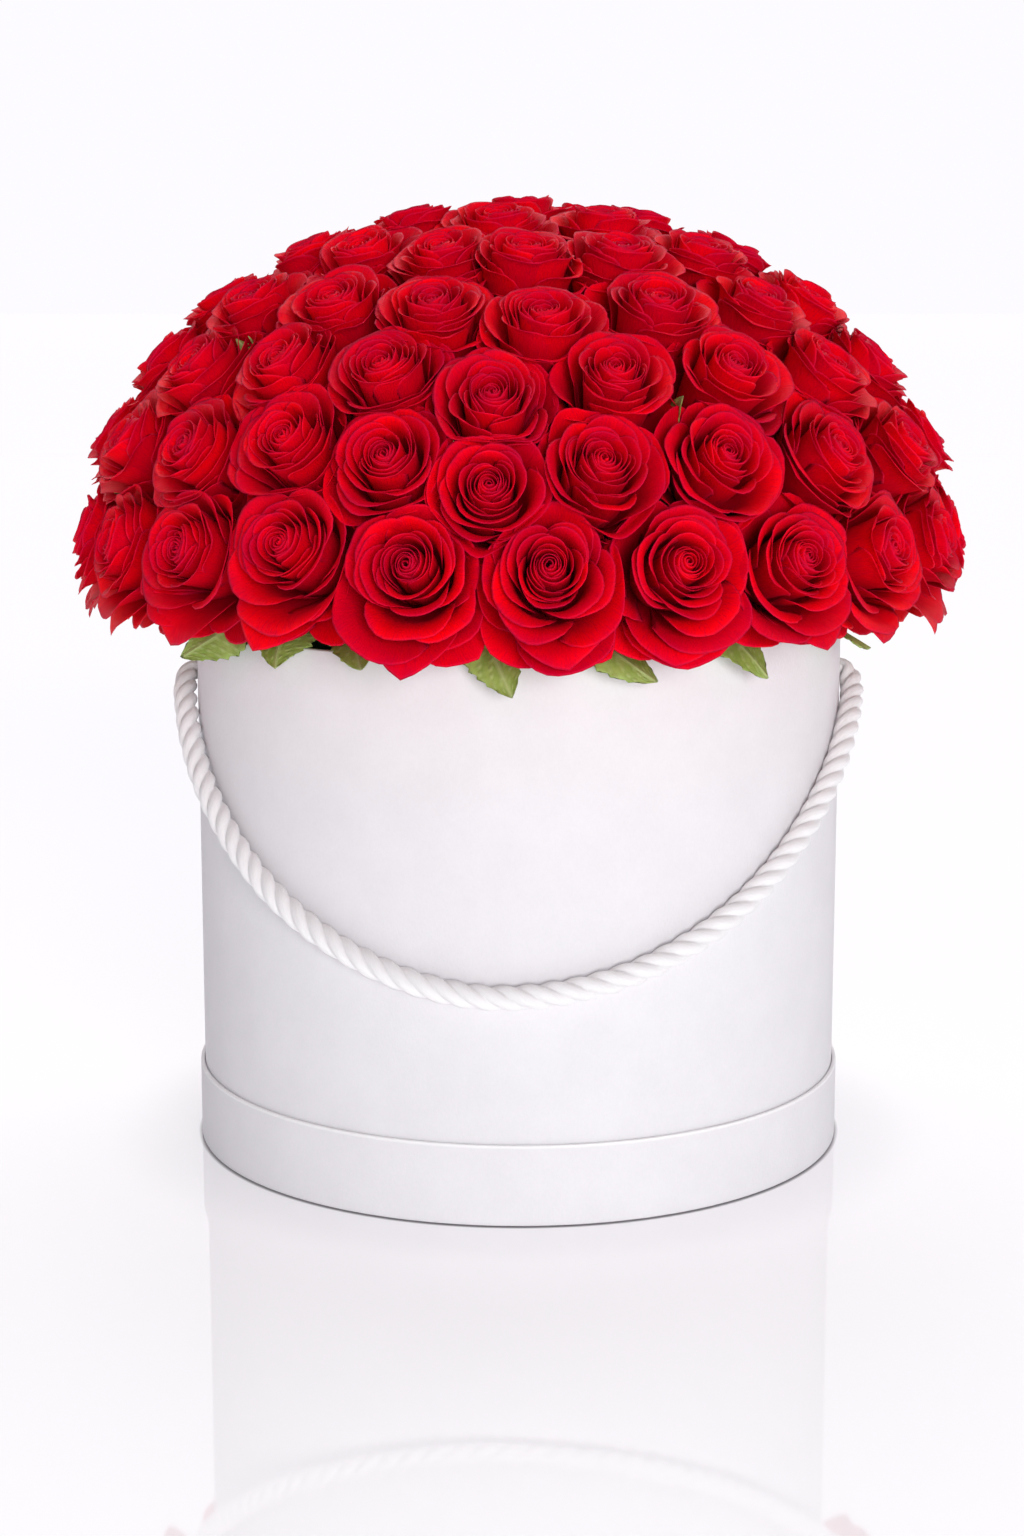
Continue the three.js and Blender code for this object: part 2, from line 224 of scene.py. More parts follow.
# Leaves over the rim at the front: degrees round from the front where each starts and ends, and how
# far its tip hangs below the rim
FRONT_LEAVES = (
    (-49, -61, 9),
    (-42, -38, 7),
    (-28, -23, 4),
    (-7, -1, 14),
    (8, 20, 9),
    (33, 39, 11),
    (57, 68, 7),
    (80, 87, 6),
    (-84, -90, 8),
)
BACK_LEAVES_START = range(104, 272, 17)
LEAF_WIDTH = 19
LEAF_THICKNESS = 0.35
LEAF_TEETH = 11
LEAF_BRANCHES = 6.5  # side veins along one half
LEAF_PUCKERS = 40.95  # radians of waves along the leaf
LEAF_STEP = 1.6
BRANCHES_LEAN = 0.35  # how far a side vein runs forwards on its way to the edge
TUFT_RINGS = ("row2", "row3", "row4")
TUFT_EVERY = 4
TUFT_WIDTH = 9
TUFT_TIP = 10  # how far a small leaf between roses stands above their widest level

SEED = 7
FIRST_STEM_SEED = 1000


# --- Building meshes -------------------------------------------------------------------------

CORNER_STEPS = 4
CORNER_SHARE = 0.45  # the most of an edge that one rounded corner may take
AXIS_RADIUS = 0.02  # stands for a point on the axis
CURVE_STEPS = 24
SMALL = 1e-9


def placed(name, data):
    """A new object in the scene."""
    made = bpy.data.objects.new(name, data)
    bpy.context.scene.collection.objects.link(made)
    return made


def unit(vectors):
    """Vectors brought to length 1."""
    return vectors / np.linalg.norm(vectors, axis=-1, keepdims=True)


def even_angles(count):
    """Angles spaced evenly round a circle."""
    return 2 * np.pi * np.arange(count) / count


def run_of(line, power=1):
    """How far along a line each point is, where a step counts as its length to a power."""
    return np.concatenate([[0], np.cumsum(np.linalg.norm(np.diff(line, axis=0), axis=1) ** power)])


def moved_out(points, factors):
    """Points brought further from the axis or closer to it, each by its own factor."""
    return points * np.stack([factors, factors, np.ones(len(points))], -1)


def round_at(angle):
    """The directions outwards and sideways at an angle round from the front."""
    outwards = np.array([math.sin(angle), -math.cos(angle), 0])
    return outwards, np.array([math.cos(angle), math.sin(angle), 0])


def piece(name, points, faces, body, slot, *replaces):
    """A smooth mesh piece from points in millimetres and faces of four corners, riding on a CAD body."""
    points = np.asarray(points, float)
    faces = np.asarray(faces, np.int32)
    sides = faces.shape[1]
    mesh = bpy.data.meshes.new(name)
    mesh.vertices.add(len(points))
    mesh.vertices.foreach_set("co", (points * MM).astype(np.float32).ravel())
    mesh.loops.add(faces.size)
    mesh.loops.foreach_set("vertex_index", faces.ravel())
    mesh.polygons.add(len(faces))
    mesh.polygons.foreach_set("loop_start", np.arange(0, faces.size, sides, dtype=np.int32))
    mesh.polygons.foreach_set("use_smooth", np.ones(len(faces), bool))
    mesh.update(calc_edges=True)
    mesh.materials.append(FINISHES[slot])
    made = placed(name, mesh)
    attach(made, body)
    if replaces:
        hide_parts(*replaces)
    return made


def store(made, name, values):
    """Keeps one number per point on a piece, for its material."""
    attribute = made.data.attributes.new(name, "FLOAT", "POINT")
    attribute.data.foreach_set("value", np.asarray(values, np.float32).ravel())


def join(parts):
    """One set of points and faces from several."""
    points, faces, start = [], [], 0
    for part_points, part_faces in parts:
        points.append(part_points)
        faces.append(part_faces + start)
        start += len(part_points)
    return np.concatenate(points), np.concatenate(faces)


def loop_faces(rings, around):
    """Faces between closed rings of points, with both ends left open."""
    i, j = np.meshgrid(np.arange(rings - 1), np.arange(around), indexing="ij")
    after = (j + 1) % around
    faces = np.stack([i * around + j, i * around + after, (i + 1) * around + after, (i + 1) * around + j], -1)
    return faces.reshape(-1, 4)


def end_faces(around, rings):
    """Strips of faces across the first and the last ring of points."""
    pair = np.arange(around // 2 - 1)
    cap = np.stack([pair, pair + 1, around - 2 - pair, around - 1 - pair], -1)
    return cap[:, ::-1], cap + (rings - 1) * around


def is_closed(profile):
    """Whether a profile is a loop clear of the axis, and not a line from the axis back to it."""
    return not (profile[0][0] == 0 and profile[-1][0] == 0)


def rounded(profile, radii):
    """A profile with its corners eased into curves. Ends that lie on the axis stay as they are."""
    closed = is_closed(profile)
    radii = np.broadcast_to(radii, len(profile))
    points = []
    for i, corner in enumerate(profile):
        if not closed and i in (0, len(profile) - 1):
            points.append(corner)
            continue
        before, after = profile[i - 1], profile[(i + 1) % len(profile)]
        ends = []
        for other in (before, after):
            away = other - corner
            length = np.linalg.norm(away)
            ends.append(corner + away / length * min(radii[i], CORNER_SHARE * length))
        for share in np.linspace(0, 1, CORNER_STEPS + 1):
            weights = ((1 - share) ** 2, 2 * share * (1 - share), share**2)
            points.append(sum(weight * point for weight, point in zip(weights, (ends[0], corner, ends[1]))))
    return np.array(points)


def turned(profile, radii, around=ROUND_STEPS):
    """A solid of revolution from (radius, height) corners, each eased by its radius."""
    profile = np.asarray(profile, float)
    closed = is_closed(profile)
    line = rounded(profile, radii)
    if closed:
        line = np.vstack([line, line[:1]])
    else:
        line[0][0] = line[-1][0] = AXIS_RADIUS
    angles = even_angles(around)
    ring = np.stack([np.sin(angles), -np.cos(angles)], -1)
    points = np.empty((len(line), around, 3))
    points[..., :2] = line[:, None, :1] * ring[None]
    points[..., 2] = line[:, None, 1]
    faces = loop_faces(len(line), around)
    if closed:
        last = (len(line) - 1) * around
        faces = np.where(faces >= last, faces - last, faces)
        return points[:-1].reshape(-1, 3), faces
    return points.reshape(-1, 3), np.concatenate([faces, *end_faces(around, len(line))])


def turned_piece(name, profile, radii, body, slot, node):
    """A solid of revolution that replaces one CAD node."""
    return piece(name, *turned(profile, radii), body, slot, node)


def sheets(grids, thickness):
    """Thin closed solids from grids of points (sheet, row, column, 3), each with a second layer behind."""
    count, rows, columns = grids.shape[:3]
    normal = np.cross(np.gradient(grids, axis=2), np.gradient(grids, axis=1))
    normal /= np.maximum(np.linalg.norm(normal, axis=-1, keepdims=True), SMALL)
    back = grids + normal * thickness
    points = both_layers(grids, back).reshape(count, -1, 3)
    faces = sheet_faces(rows, columns)[None] + points.shape[1] * np.arange(count)[:, None, None]
    return points.reshape(-1, 3), faces.reshape(-1, 4)


def both_layers(front, back):
    """Values for each sheet's front points, and then for its back points inside the shared edge."""
    count = len(front)
    return np.concatenate([front.reshape(count, -1), back[:, 1:-1, 1:-1].reshape(count, -1)], 1)


def sheet_faces(rows, columns):
    """The faces of a sheet, whose two layers share the points round its edge."""
    front = np.arange(rows * columns).reshape(rows, columns)
    back = front.copy()
    back[1:-1, 1:-1] = rows * columns + np.arange((rows - 2) * (columns - 2)).reshape(rows - 2, columns - 2)

    def quads(index):
        corners = [index[:-1, :-1], index[:-1, 1:], index[1:, 1:], index[1:, :-1]]
        return np.stack(corners, -1).reshape(-1, 4)

    return np.concatenate([quads(front)[:, ::-1], quads(back)])


def frames_along(line):
    """Unit tangent and two unit sides at each point of a line, with no twist."""
    tangent = unit(np.gradient(line, axis=0))
    side = np.empty_like(line)
    side[0] = np.cross(tangent[0], [0, 0, 1])
    for i in range(len(line)):
        if i:
            side[i] = side[i - 1]
        side[i] = unit(side[i] - tangent[i] * (side[i] @ tangent[i]))
    return tangent, side, np.cross(tangent, side)


def tube(line, radii, around):
    """A round rod along a line, with a radius at each point, closed at both ends."""
    _, side, up = frames_along(line)
    angles = even_angles(around)
    offset = side[:, None] * np.cos(angles)[None, :, None] + up[:, None] * np.sin(angles)[None, :, None]
    points = line[:, None] + offset * np.asarray(radii, float)[:, None, None]
    return swept(points)


def swept(points):
    """Points and faces for rings of points (rings, around, 3), closed at both ends."""
    rings, around = points.shape[:2]
    return points.reshape(-1, 3), np.concatenate([loop_faces(rings, around), *end_faces(around, rings)])


def smooth_line(route, step):
    """A centripetal Catmull-Rom curve through the route, with points about step apart."""
    route = np.asarray(route, float)
    padded = np.vstack([2 * route[0] - route[1], route, 2 * route[-1] - route[-2]])
    knots = run_of(padded, 0.5)
    pieces = []
    for i in range(1, len(padded) - 2):
        p, k = padded[i - 1 : i + 3], knots[i - 1 : i + 3]
        at = np.linspace(k[1], k[2], CURVE_STEPS, endpoint=False)[:, None]
        a = [((k[j + 1] - at) * p[j] + (at - k[j]) * p[j + 1]) / (k[j + 1] - k[j]) for j in range(3)]
        b = [((k[j + 2] - at) * a[j] + (at - k[j]) * a[j + 1]) / (k[j + 2] - k[j]) for j in range(2)]
        pieces.append(((k[2] - at) * b[0] + (at - k[1]) * b[1]) / (k[2] - k[1]))
    line = np.vstack([*pieces, route[-1:]])
    along = run_of(line)
    even = np.linspace(0, along[-1], round(along[-1] / step) + 1)
    return np.stack([np.interp(even, along, line[:, axis]) for axis in range(3)], -1)


def read(pairs, at):
    """A value read between (place, value) pairs."""
    places, values = zip(*pairs)
    return np.interp(at, places, values)


# --- Materials -------------------------------------------------------------------------------


class Finish:
    """A material with one Principled shader, and short ways to add nodes to it."""

    def __init__(self, name, **sockets):
        self.material = bpy.data.materials.new(name)
        self.material.use_nodes = True
        self.nodes = self.material.node_tree.nodes
        self.links = self.material.node_tree.links
        self.shader = self.nodes["Principled BSDF"]
        for socket, value in sockets.items():
            self.shader.inputs[socket.replace("_", " ")].default_value = value

    def add(self, kind, settings=(), **inputs):
        """A new node. Inputs go by name, or by number as _0, _1 and so on."""
        node = self.nodes.new("ShaderNode" + kind)
        for key, value in dict(settings).items():
            setattr(node, key, value)
        for key, value in inputs.items():
            self.feed(node.inputs[int(key[1:]) if key[1:].isdigit() else key.replace("_", " ")], value)
        return node

    def feed(self, socket, value):
        """Links a node's output to a socket, or sets the socket to a plain value."""
        if isinstance(value, bpy.types.NodeSocket):
            self.links.new(value, socket)
        elif isinstance(value, bpy.types.Node):
            self.links.new(value.outputs[0], socket)
        else:
            socket.default_value = value

    def place(self, scale=(1, 1, 1)):
        """Object coordinates, in metres times the scale."""
        coordinates = self.add("TexCoord").outputs["Object"]
        return self.add("Mapping", Vector=coordinates, Scale=scale).outputs[0]

    def stored(self, name):
        """A number stored on the piece's points."""
        return self.add("Attribute", {"attribute_name": name}).outputs["Fac"]

    def noise(self, scale, detail=3, roughness=0.5, vector=None, distortion=0):
        vector = self.place() if vector is None else vector
        return self.add(
            "TexNoise", Vector=vector, Scale=scale, Detail=detail, Roughness=roughness, Distortion=distortion
        ).outputs[0]

    def span(self, value, low, high, to_low=0, to_high=1):
        """A value from one range mapped to another, and clamped to it."""
        return self.add("MapRange", _0=value, _1=low, _2=high, _3=to_low, _4=to_high).outputs[0]

    def math(self, operation, a, b=0):
        return self.add("Math", {"operation": operation}, _0=a, _1=b).outputs[0]

    def blend(self, share, a, b):
        """Two colours mixed. The colour sockets of a Mix node come after its number and vector ones."""
        node = self.add("Mix", {"data_type": "RGBA"}, _0=share)
        self.feed(node.inputs[6], a)
        self.feed(node.inputs[7], b)
        return node.outputs[2]

    def mottled(self, noise, dark, light, low=0.3, high=0.7):
        """Two colours mixed by a value, from the first below its low end to the second above its high one."""
        return self.blend(self.span(noise, low, high), dark, light)

    def bump(self, height, distance, under=None):
        """Relief of some millimetres, over a coarser one where given."""
        node = self.add("Bump", Height=height, Distance=distance * MM, Strength=1)
        if under is not None:
            self.feed(node.inputs["Normal"], under)
        return node.outputs[0]

    def set(self, **sockets):
        """Feeds the shader's sockets, and gives back the material."""
        for socket, value in sockets.items():
            self.feed(self.shader.inputs[socket.replace("_", " ")], value)
        return self.material


def paper_finish(name, pale, deep, grain=0.13, gloss=0.55):
    """Covering paper: a faint felt-like mottling, fine fibres, and a slightly uneven surface."""
    finish = Finish(name, Specular_IOR_Level=0.05)
    cloud = finish.noise(38, 4, 0.6)
    fibre = finish.noise(900, 3, 0.7, finish.place((1, 1, 0.55)), 0.4)
    mottle = finish.math("ADD", finish.math("MULTIPLY", cloud, 0.6), finish.math("MULTIPLY", fibre, 0.4))
    flat = finish.mottled(mottle, deep, pale, 0.35, 0.65)
    # Painted highlight: the paper turns whiter along the lid's folded edge, by the mask stored on the lid
    colour = finish.blend(finish.stored("fold_highlight"), flat, (1, 0.99, 1, 1))
    soft = finish.bump(cloud, 0.3)
    return finish.set(
        Base_Color=colour,
        Roughness=finish.span(fibre, 0.3, 0.7, gloss, gloss + 0.14),
        Normal=finish.bump(fibre, grain, soft),
    )


def board_finish():
    """Grey recycled board with flecks."""
    finish = Finish("Greyboard", Specular_IOR_Level=0.2)
    fleck = finish.noise(700, 5, 0.8)
    cloud = finish.noise(60, 3)
    base = finish.mottled(cloud, (0.33, 0.3, 0.26, 1), (0.42, 0.39, 0.34, 1))
    colour = finish.mottled(fleck, base, (0.2, 0.17, 0.14, 1), 0.58, 0.68)
    return finish.set(Base_Color=colour, Roughness=0.92, Normal=finish.bump(fleck, 0.1))


def corrugated_finish():
    """Kraft corrugated card, with its flutes showing as upright ridges, painted darker in the valleys between
    them as shade.
    """
    finish = Finish("Corrugated_card", Specular_IOR_Level=0.25)
    fibre = finish.noise(500, 4, 0.7, finish.place((1, 1, 0.2)))
    flute_shading = finish.stored("flute_shading")
    base = finish.mottled(fibre, (0.4, 0.25, 0.12, 1), (0.53, 0.35, 0.18, 1))
    # Painted shade: the card is darker in the valleys between the flutes
    colour = finish.blend(flute_shading, finish.blend(0.5, base, (0.28, 0.16, 0.07, 1)), base)
    return finish.set(Base_Color=colour, Roughness=0.88, Normal=finish.bump(fibre, 0.08))


def cotton_finish():
    """Soft white cotton: fine fibres that run along each strand, and painted shade in the grooves between
    strands.
    """
    finish = Finish("Cotton_rope", Sheen_Weight=0.35, Sheen_Roughness=0.45, Specular_IOR_Level=0.25)
    lengthwise = finish.add("CombineXYZ", _0=finish.stored("fibre_along"), _1=finish.stored("fibre_round"))
    fibre = finish.noise(1, 4, 0.65, lengthwise.outputs[0], 0.2)
    cloud = finish.noise(300, 3)
    groove_shade = finish.stored("groove_shade")
    base = finish.mottled(fibre, (0.84, 0.83, 0.84, 1), (0.92, 0.91, 0.92, 1))
    # Painted shade: the cotton is darker where the strands meet in a groove
    colour = finish.blend(finish.span(groove_shade, 0, 1, 0, 0.2), base, (0.66, 0.64, 0.66, 1))
    soft = finish.bump(cloud, 0.15)
    return finish.set(Base_Color=colour, Roughness=0.72, Normal=finish.bump(fibre, 0.22, soft))


def plastic_finish():
    """Thin moulded liner pot with faint moulding swirls."""
    finish = Finish("Liner_plastic", Specular_IOR_Level=0.5)
    swirl = finish.noise(14, 3, 0.5, finish.place((1, 1, 4)), 0.8)
    scuff = finish.noise(420, 4, 0.8)
    colour = finish.mottled(swirl, (0.62, 0.66, 0.68, 1), (0.7, 0.73, 0.75, 1))
    return finish.set(
        Base_Color=colour,
        Roughness=finish.span(scuff, 0.35, 0.65, 0.28, 0.42),
        Normal=finish.bump(scuff, 0.03),
    )


def foam_finish():
    """Wet green floral foam, open-celled and crumbly."""
    finish = Finish("Floral_foam", Specular_IOR_Level=0.3)
    cells = finish.add("TexVoronoi", Vector=finish.place(), Scale=900).outputs["Distance"]
    cloud = finish.noise(45, 5, 0.7)
    colour = finish.mottled(cloud, (0.012, 0.05, 0.022, 1), (0.03, 0.1, 0.045, 1))
    # Painted shade: each open cell is darker in its hollow
    shade = finish.mottled(cells, (0.008, 0.03, 0.014, 1), colour, 0, 0.6)
    coarse = finish.bump(cloud, 1.2)
    return finish.set(Base_Color=shade, Roughness=0.95, Normal=finish.bump(cells, 0.5, coarse))


def petal_finish():
    """Velvety rose petal: veins fanning up from the base, painted shade that makes it deeper in the cup, and
    a thin cool line at the rim, paler as a painted highlight along the edge.
    """
    finish = Finish(
        "Rose_petal",
        Sheen_Weight=0.1,
        Sheen_Roughness=0.4,
        Sheen_Tint=(1, 0.02, 0.08, 1),
        Specular_IOR_Level=0.2,
        Specular_Tint=(1, 0.08, 0.16, 1),
    )
    along = finish.stored("along")
    across = finish.stored("across")
    tone = finish.stored("tone")
    rim = finish.stored("rim")
    edge = finish.stored("edge")
    fan = finish.add("CombineXYZ", _0=finish.math("MULTIPLY", along, 2.2), _1=across, _2=tone).outputs[0]
    vein = finish.noise(26, 3, 0.55, finish.add("Mapping", Vector=fan, Scale=(0.16, 1, 1)).outputs[0], 0.3)
    cloud = finish.noise(130, 3, 0.6)
    lift = finish.math("ADD", finish.math("MULTIPLY", tone, 0.55), finish.math("MULTIPLY", cloud, 0.45))
    bruise = finish.math("MULTIPLY", edge, finish.span(finish.noise(55, 4, 0.6), 0.42, 0.6, 0, 0.6))
    bright = finish.mottled(lift, (0.74, 0.0, 0.014, 1), (1.0, 0.0, 0.005, 1), 0.25, 0.75)
    open_red = finish.blend(bruise, bright, (0.42, 0.0, 0.035, 1))
    # Painted shade: the petal darkens down towards its base, in the cup
    deep = finish.mottled(along, (0.5, 0.0, 0.012, 1), open_red, 0.45, 0.95)
    veined = finish.blend(finish.span(vein, 0.5, 0.75, 0, 0.5), deep, (0.45, 0.0, 0.026, 1))
    # Painted highlight: a thin paler, cooler line along the petal's rim
    colour = finish.blend(finish.math("MULTIPLY", rim, 0.3), veined, (0.8, 0.02, 0.1, 1))
    cells = finish.noise(2600, 2, 0.5)
    soft = finish.bump(vein, 0.3)
    return finish.set(
        Base_Color=colour,
        Roughness=finish.span(vein, 0.3, 0.7, 0.5, 0.62),
        Normal=finish.bump(cells, 0.03, soft),
    )


def leaf_finish():
    """Rose leaf and stem: mid green, paler veins, a little gloss."""
    finish = Finish("Rose_green", Specular_IOR_Level=0.35)
    vein = finish.stored("vein")
    cloud = finish.noise(90, 4, 0.6)
    fine = finish.noise(1500, 3, 0.6)
    base = finish.mottled(cloud, (0.2, 0.31, 0.045, 1), (0.36, 0.48, 0.12, 1))
    colour = finish.blend(finish.math("MULTIPLY", vein, 0.6), base, (0.52, 0.62, 0.28, 1))
    ridges = finish.bump(vein, 0.5)
    return finish.set(
        Base_Color=colour,
        Roughness=finish.span(fine, 0.3, 0.7, 0.42, 0.6),
        Normal=finish.bump(fine, 0.06, ridges),
    )


FINISHES = {
    "cover_paper": paper_finish("Cover_paper", (0.8, 0.785, 0.808, 1), (0.76, 0.745, 0.768, 1)),
    "lining_paper": paper_finish("Lining_paper", (0.74, 0.725, 0.73, 1), (0.7, 0.685, 0.69, 1), 0.08, 0.7),
    "greyboard": board_finish(),
    "corrugated_card": corrugated_finish(),
    "cotton_rope": cotton_finish(),
    "liner_plastic": plastic_finish(),
    "floral_foam": foam_finish(),
    "rose": petal_finish(),
    "rose_green": leaf_finish(),
}


# --- Camera ----------------------------------------------------------------------------------


def make_camera():
    """The photograph's camera, as fitted to the box's edges."""
    lens = bpy.data.cameras.new("Camera")
    lens.sensor_width = SENSOR
    lens.lens = FOCAL_LENGTH_PIXELS / IMAGE_HEIGHT * SENSOR
    lens.clip_end = 100
    camera = placed("Camera", lens)
    camera.location = [length * MM for length in CAMERA_PLACE]
    camera.rotation_euler = (math.radians(90 - CAMERA_PITCH_DOWN), 0, 0)
    bpy.context.scene.camera = camera


make_camera()


# --- Rope handle -----------------------------------------------------------------------------


def strand_section(turn, angles):
    """The rope's outline round its centreline: three strands pressed together, ridged by their yarns."""
    from_strand = (angles - turn + np.pi / STRANDS) % (2 * np.pi / STRANDS) - np.pi / STRANDS
    reach = STRAND_OFFSET * np.cos(from_strand)
    half_chord = np.sqrt(STRAND_RADIUS**2 - (STRAND_OFFSET * np.sin(from_strand)) ** 2)
    radius = reach + half_chord
    on_strand = np.arctan2(radius * np.sin(from_strand), radius * np.cos(from_strand) - STRAND_OFFSET)
    radius += GROOVE_FILL * (STRAND_OFFSET + STRAND_RADIUS - radius)
    return radius, on_strand, from_strand


def make_rope():
    """The twisted rope, and the line it follows."""
    line = smooth_line(ROPE_ROUTE, ROPE_STEP)
    _, side, up = frames_along(line)
    along = run_of(line)
    turn = 2 * np.pi * along / PITCH
    angles = even_angles(ROPE_SECTION_POINTS)
    bearing = angles + turn[:, None]
    radius, on_strand, from_strand = strand_section(turn[:, None], bearing)
    yarn = np.cos(YARNS * on_strand + YARN_LAY * along[:, None])
    pivots = np.array([[hand * HOLE_PIVOT_RADIUS, 0, HOLE_HEIGHT] for hand in (1, -1)])
    from_hole = np.linalg.norm(line[:, None] - pivots, axis=-1).min(axis=1)
    pinch = 1 - PINCHED_BY * np.exp(-((from_hole / PINCHED_WITHIN) ** 2))
    radius = (radius + YARN_DEPTH * (yarn - 1) / 2) * pinch[:, None]
    offset = side[:, None] * np.cos(bearing)[..., None] + up[:, None] * np.sin(bearing)[..., None]
    points, faces = swept(line[:, None] + offset * radius[..., None])
    rope = piece("rope_handle", points, faces, "handle", "cotton_rope", "rope")
    store(rope, "fibre_along", np.broadcast_to(along[:, None] * FIBRE_ALONG, radius.shape))
    store(rope, "fibre_round", on_strand * FIBRE_ROUND)
    # The mask of the painted shade in the grooves between strands
    store(rope, "groove_shade", np.clip(np.abs(from_strand) / (np.pi / STRANDS), 0, 1) ** 4)
    return rope, line


def knot_line(front, direction):
    """An overhand knot pulled tight, as a trefoil drawn out along the rope's direction."""
    t = np.linspace(0, 2 * np.pi, KNOT_STEPS + 1)
    x = KNOT_SIZE * (np.sin(t) + 2 * np.sin(2 * t))
    y = KNOT_SIZE * (np.cos(t) - 2 * np.cos(2 * t))
    z = KNOT_MIDDLE - KNOT_SWING * np.sin(3 * t)
    across = unit(np.cross(direction, UP))
    other = np.cross(direction, across)
    return front + x[:, None] * across + y[:, None] * other + z[:, None] * direction


def make_knot(name, hand):
    """A hard little knot behind a hole, with the rope's cut end."""
    direction = unit(ROPE_LEAVES * np.array([hand, 1, 1]))
    front = np.array([hand * HOLE_PIVOT_RADIUS, 0, HOLE_HEIGHT]) - KNOT_BEHIND * direction
    line = knot_line(front, direction)
    line[-1] = line[0]
    loops = tube(line, np.full(len(line), KNOT_ROPE_RADIUS), KNOT_SIDES)
    tail_from = front - KNOT_BEHIND * direction
    tail_end = tail_from - TAIL_LENGTH * direction - TAIL_DROOP * UP
    tail = tube(np.linspace(tail_from, tail_end, len(TAIL_RADII)), TAIL_RADII, KNOT_SIDES)
    points, faces = join([loops, tail])
    knot = piece(name + "_tied", points, faces, "handle", "cotton_rope", name)
    rings = len(points) // KNOT_SIDES
    store(knot, "fibre_along", np.repeat(np.arange(rings), KNOT_SIDES) * KNOT_FIBRE_ALONG)
    store(knot, "fibre_round", np.tile(np.arange(KNOT_SIDES) * KNOT_FIBRE_ROUND, rings))
    # The knot has no painted groove shade
    store(knot, "groove_shade", np.zeros(len(points)))
    return knot


rope, rope_line = make_rope()
knots = [make_knot("knot_right", 1), make_knot("knot_left", -1)]


# --- Box and lid -----------------------------------------------------------------------------


def seamed(points, outside):
    """Lifts a strip of a turned paper's outer face at the back, where its two ends overlap."""
    radius = np.hypot(points[:, 0], points[:, 1])
    angle = np.arctan2(points[:, 0], points[:, 1])
    across = angle * outside
    strip = np.clip((SEAM_WIDTH / 2 - np.abs(across)) / SEAM_EDGE + 0.5, 0, 1)
    outer = np.clip((radius - outside + PAPER + 0.05) / PAPER, 0, 1)
    grow = 1 + SEAM_PROUD * strip * outer / np.maximum(radius, 1)
    return moved_out(points, grow)


def drill_holes(made):
    """Cuts the two slanted rope holes through a piece."""
    for hand in (1, -1):
        direction = unit(ROPE_LEAVES * np.array([hand, 1, 1]))
        pivot = np.array([hand * HOLE_PIVOT_RADIUS, 0, HOLE_HEIGHT])
        line = np.array([pivot - DRILL_REACH * direction, pivot + DRILL_REACH * direction])
        points, faces = tube(line, [HOLE_RADIUS, HOLE_RADIUS], DRILL_SIDES)
        mesh = bpy.data.meshes.new("drill")
        mesh.from_pydata((points * MM).tolist(), [], faces.tolist())
        drill = placed("drill", mesh)
        cut = made.modifiers.new("hole", "BOOLEAN")
        cut.operation = "DIFFERENCE"
        cut.solver = "EXACT"
        cut.object = drill
        bpy.context.view_layer.update()
        shown = made.evaluated_get(bpy.context.evaluated_depsgraph_get())
        drilled = bpy.data.meshes.new_from_object(shown)
        made.modifiers.clear()
        made.data = drilled
        bpy.data.objects.remove(drill)
    made.data.set_sharp_from_angle(angle=SHARP_FROM)


def sleeve(inside, outside, low, high):
    """A wall's profile, with rings of points just below and above the rope holes."""
    near = [height for height in HOLE_BAND if low < height < high]
    outer = [(outside, height) for height in near]
    inner = [(inside, height) for height in reversed(near)]
    return [(inside, low), (outside, low), *outer, (outside, high), (inside, high), *inner]


def disc(radius, low, high):
    """A disc's profile."""
    return [(0, low), (radius, low), (radius, high), (0, high)]


def make_box():
    """The cover paper over the rim, the wall, its lining, and the bottom with its paper."""
    turn_in_outside = TUBE_OUTSIDE - BOARD - GLUE_GAP
    turn_in_inside = turn_in_outside - PAPER
    wrap = [
        (BOX_RADIUS - PAPER, BOX_FROM),
        (BOX_RADIUS, BOX_FROM),
        *((BOX_RADIUS, height) for height in HOLE_BAND),
        (BOX_RADIUS, RIM_HEIGHT),
        (turn_in_inside, RIM_HEIGHT),
        *((turn_in_inside, height) for height in reversed(HOLE_BAND)),
        (turn_in_inside, RIM_HEIGHT - TURN_IN),
        (turn_in_outside, RIM_HEIGHT - TURN_IN),
        (turn_in_outside, RIM_HEIGHT - PAPER),
        (BOX_RADIUS - PAPER, RIM_HEIGHT - PAPER),
    ]
    points, faces = turned(wrap, PAPER_FOLD_RADIUS)
    cover = piece("box_cover_paper", seamed(points, BOX_RADIUS), faces, "box", "cover_paper", "box_wrap")
    tube_shape = sleeve(TUBE_OUTSIDE - BOARD, TUBE_OUTSIDE, TUBE_FROM, TUBE_TO)
    wall = turned_piece("box_wall_board", tube_shape, BOARD_EDGE_RADIUS, "box", "greyboard", "box_tube")
    paper_shape = sleeve(LINING_OUTSIDE - PAPER, LINING_OUTSIDE, LINING_FROM, LINING_TO)
    lining = turned_piece(
        "box_wall_lining", paper_shape, THIN_EDGE_RADIUS, "box", "lining_paper", "box_lining"
    )
    for made in (cover, wall, lining):
        drill_holes(made)
    bottom = disc(BOTTOM_RADIUS, BOTTOM_FROM, BOTTOM_TO)
    turned_piece("box_floor_board", bottom, DISC_EDGE_RADIUS, "box", "greyboard", "box_bottom")
    base = disc(BASE_PAPER_RADIUS, BASE_PAPER_FROM, BASE_PAPER_TO)
    turned_piece("box_underside_paper", base, THIN_EDGE_RADIUS, "box", "lining_paper", "box_base_paper")


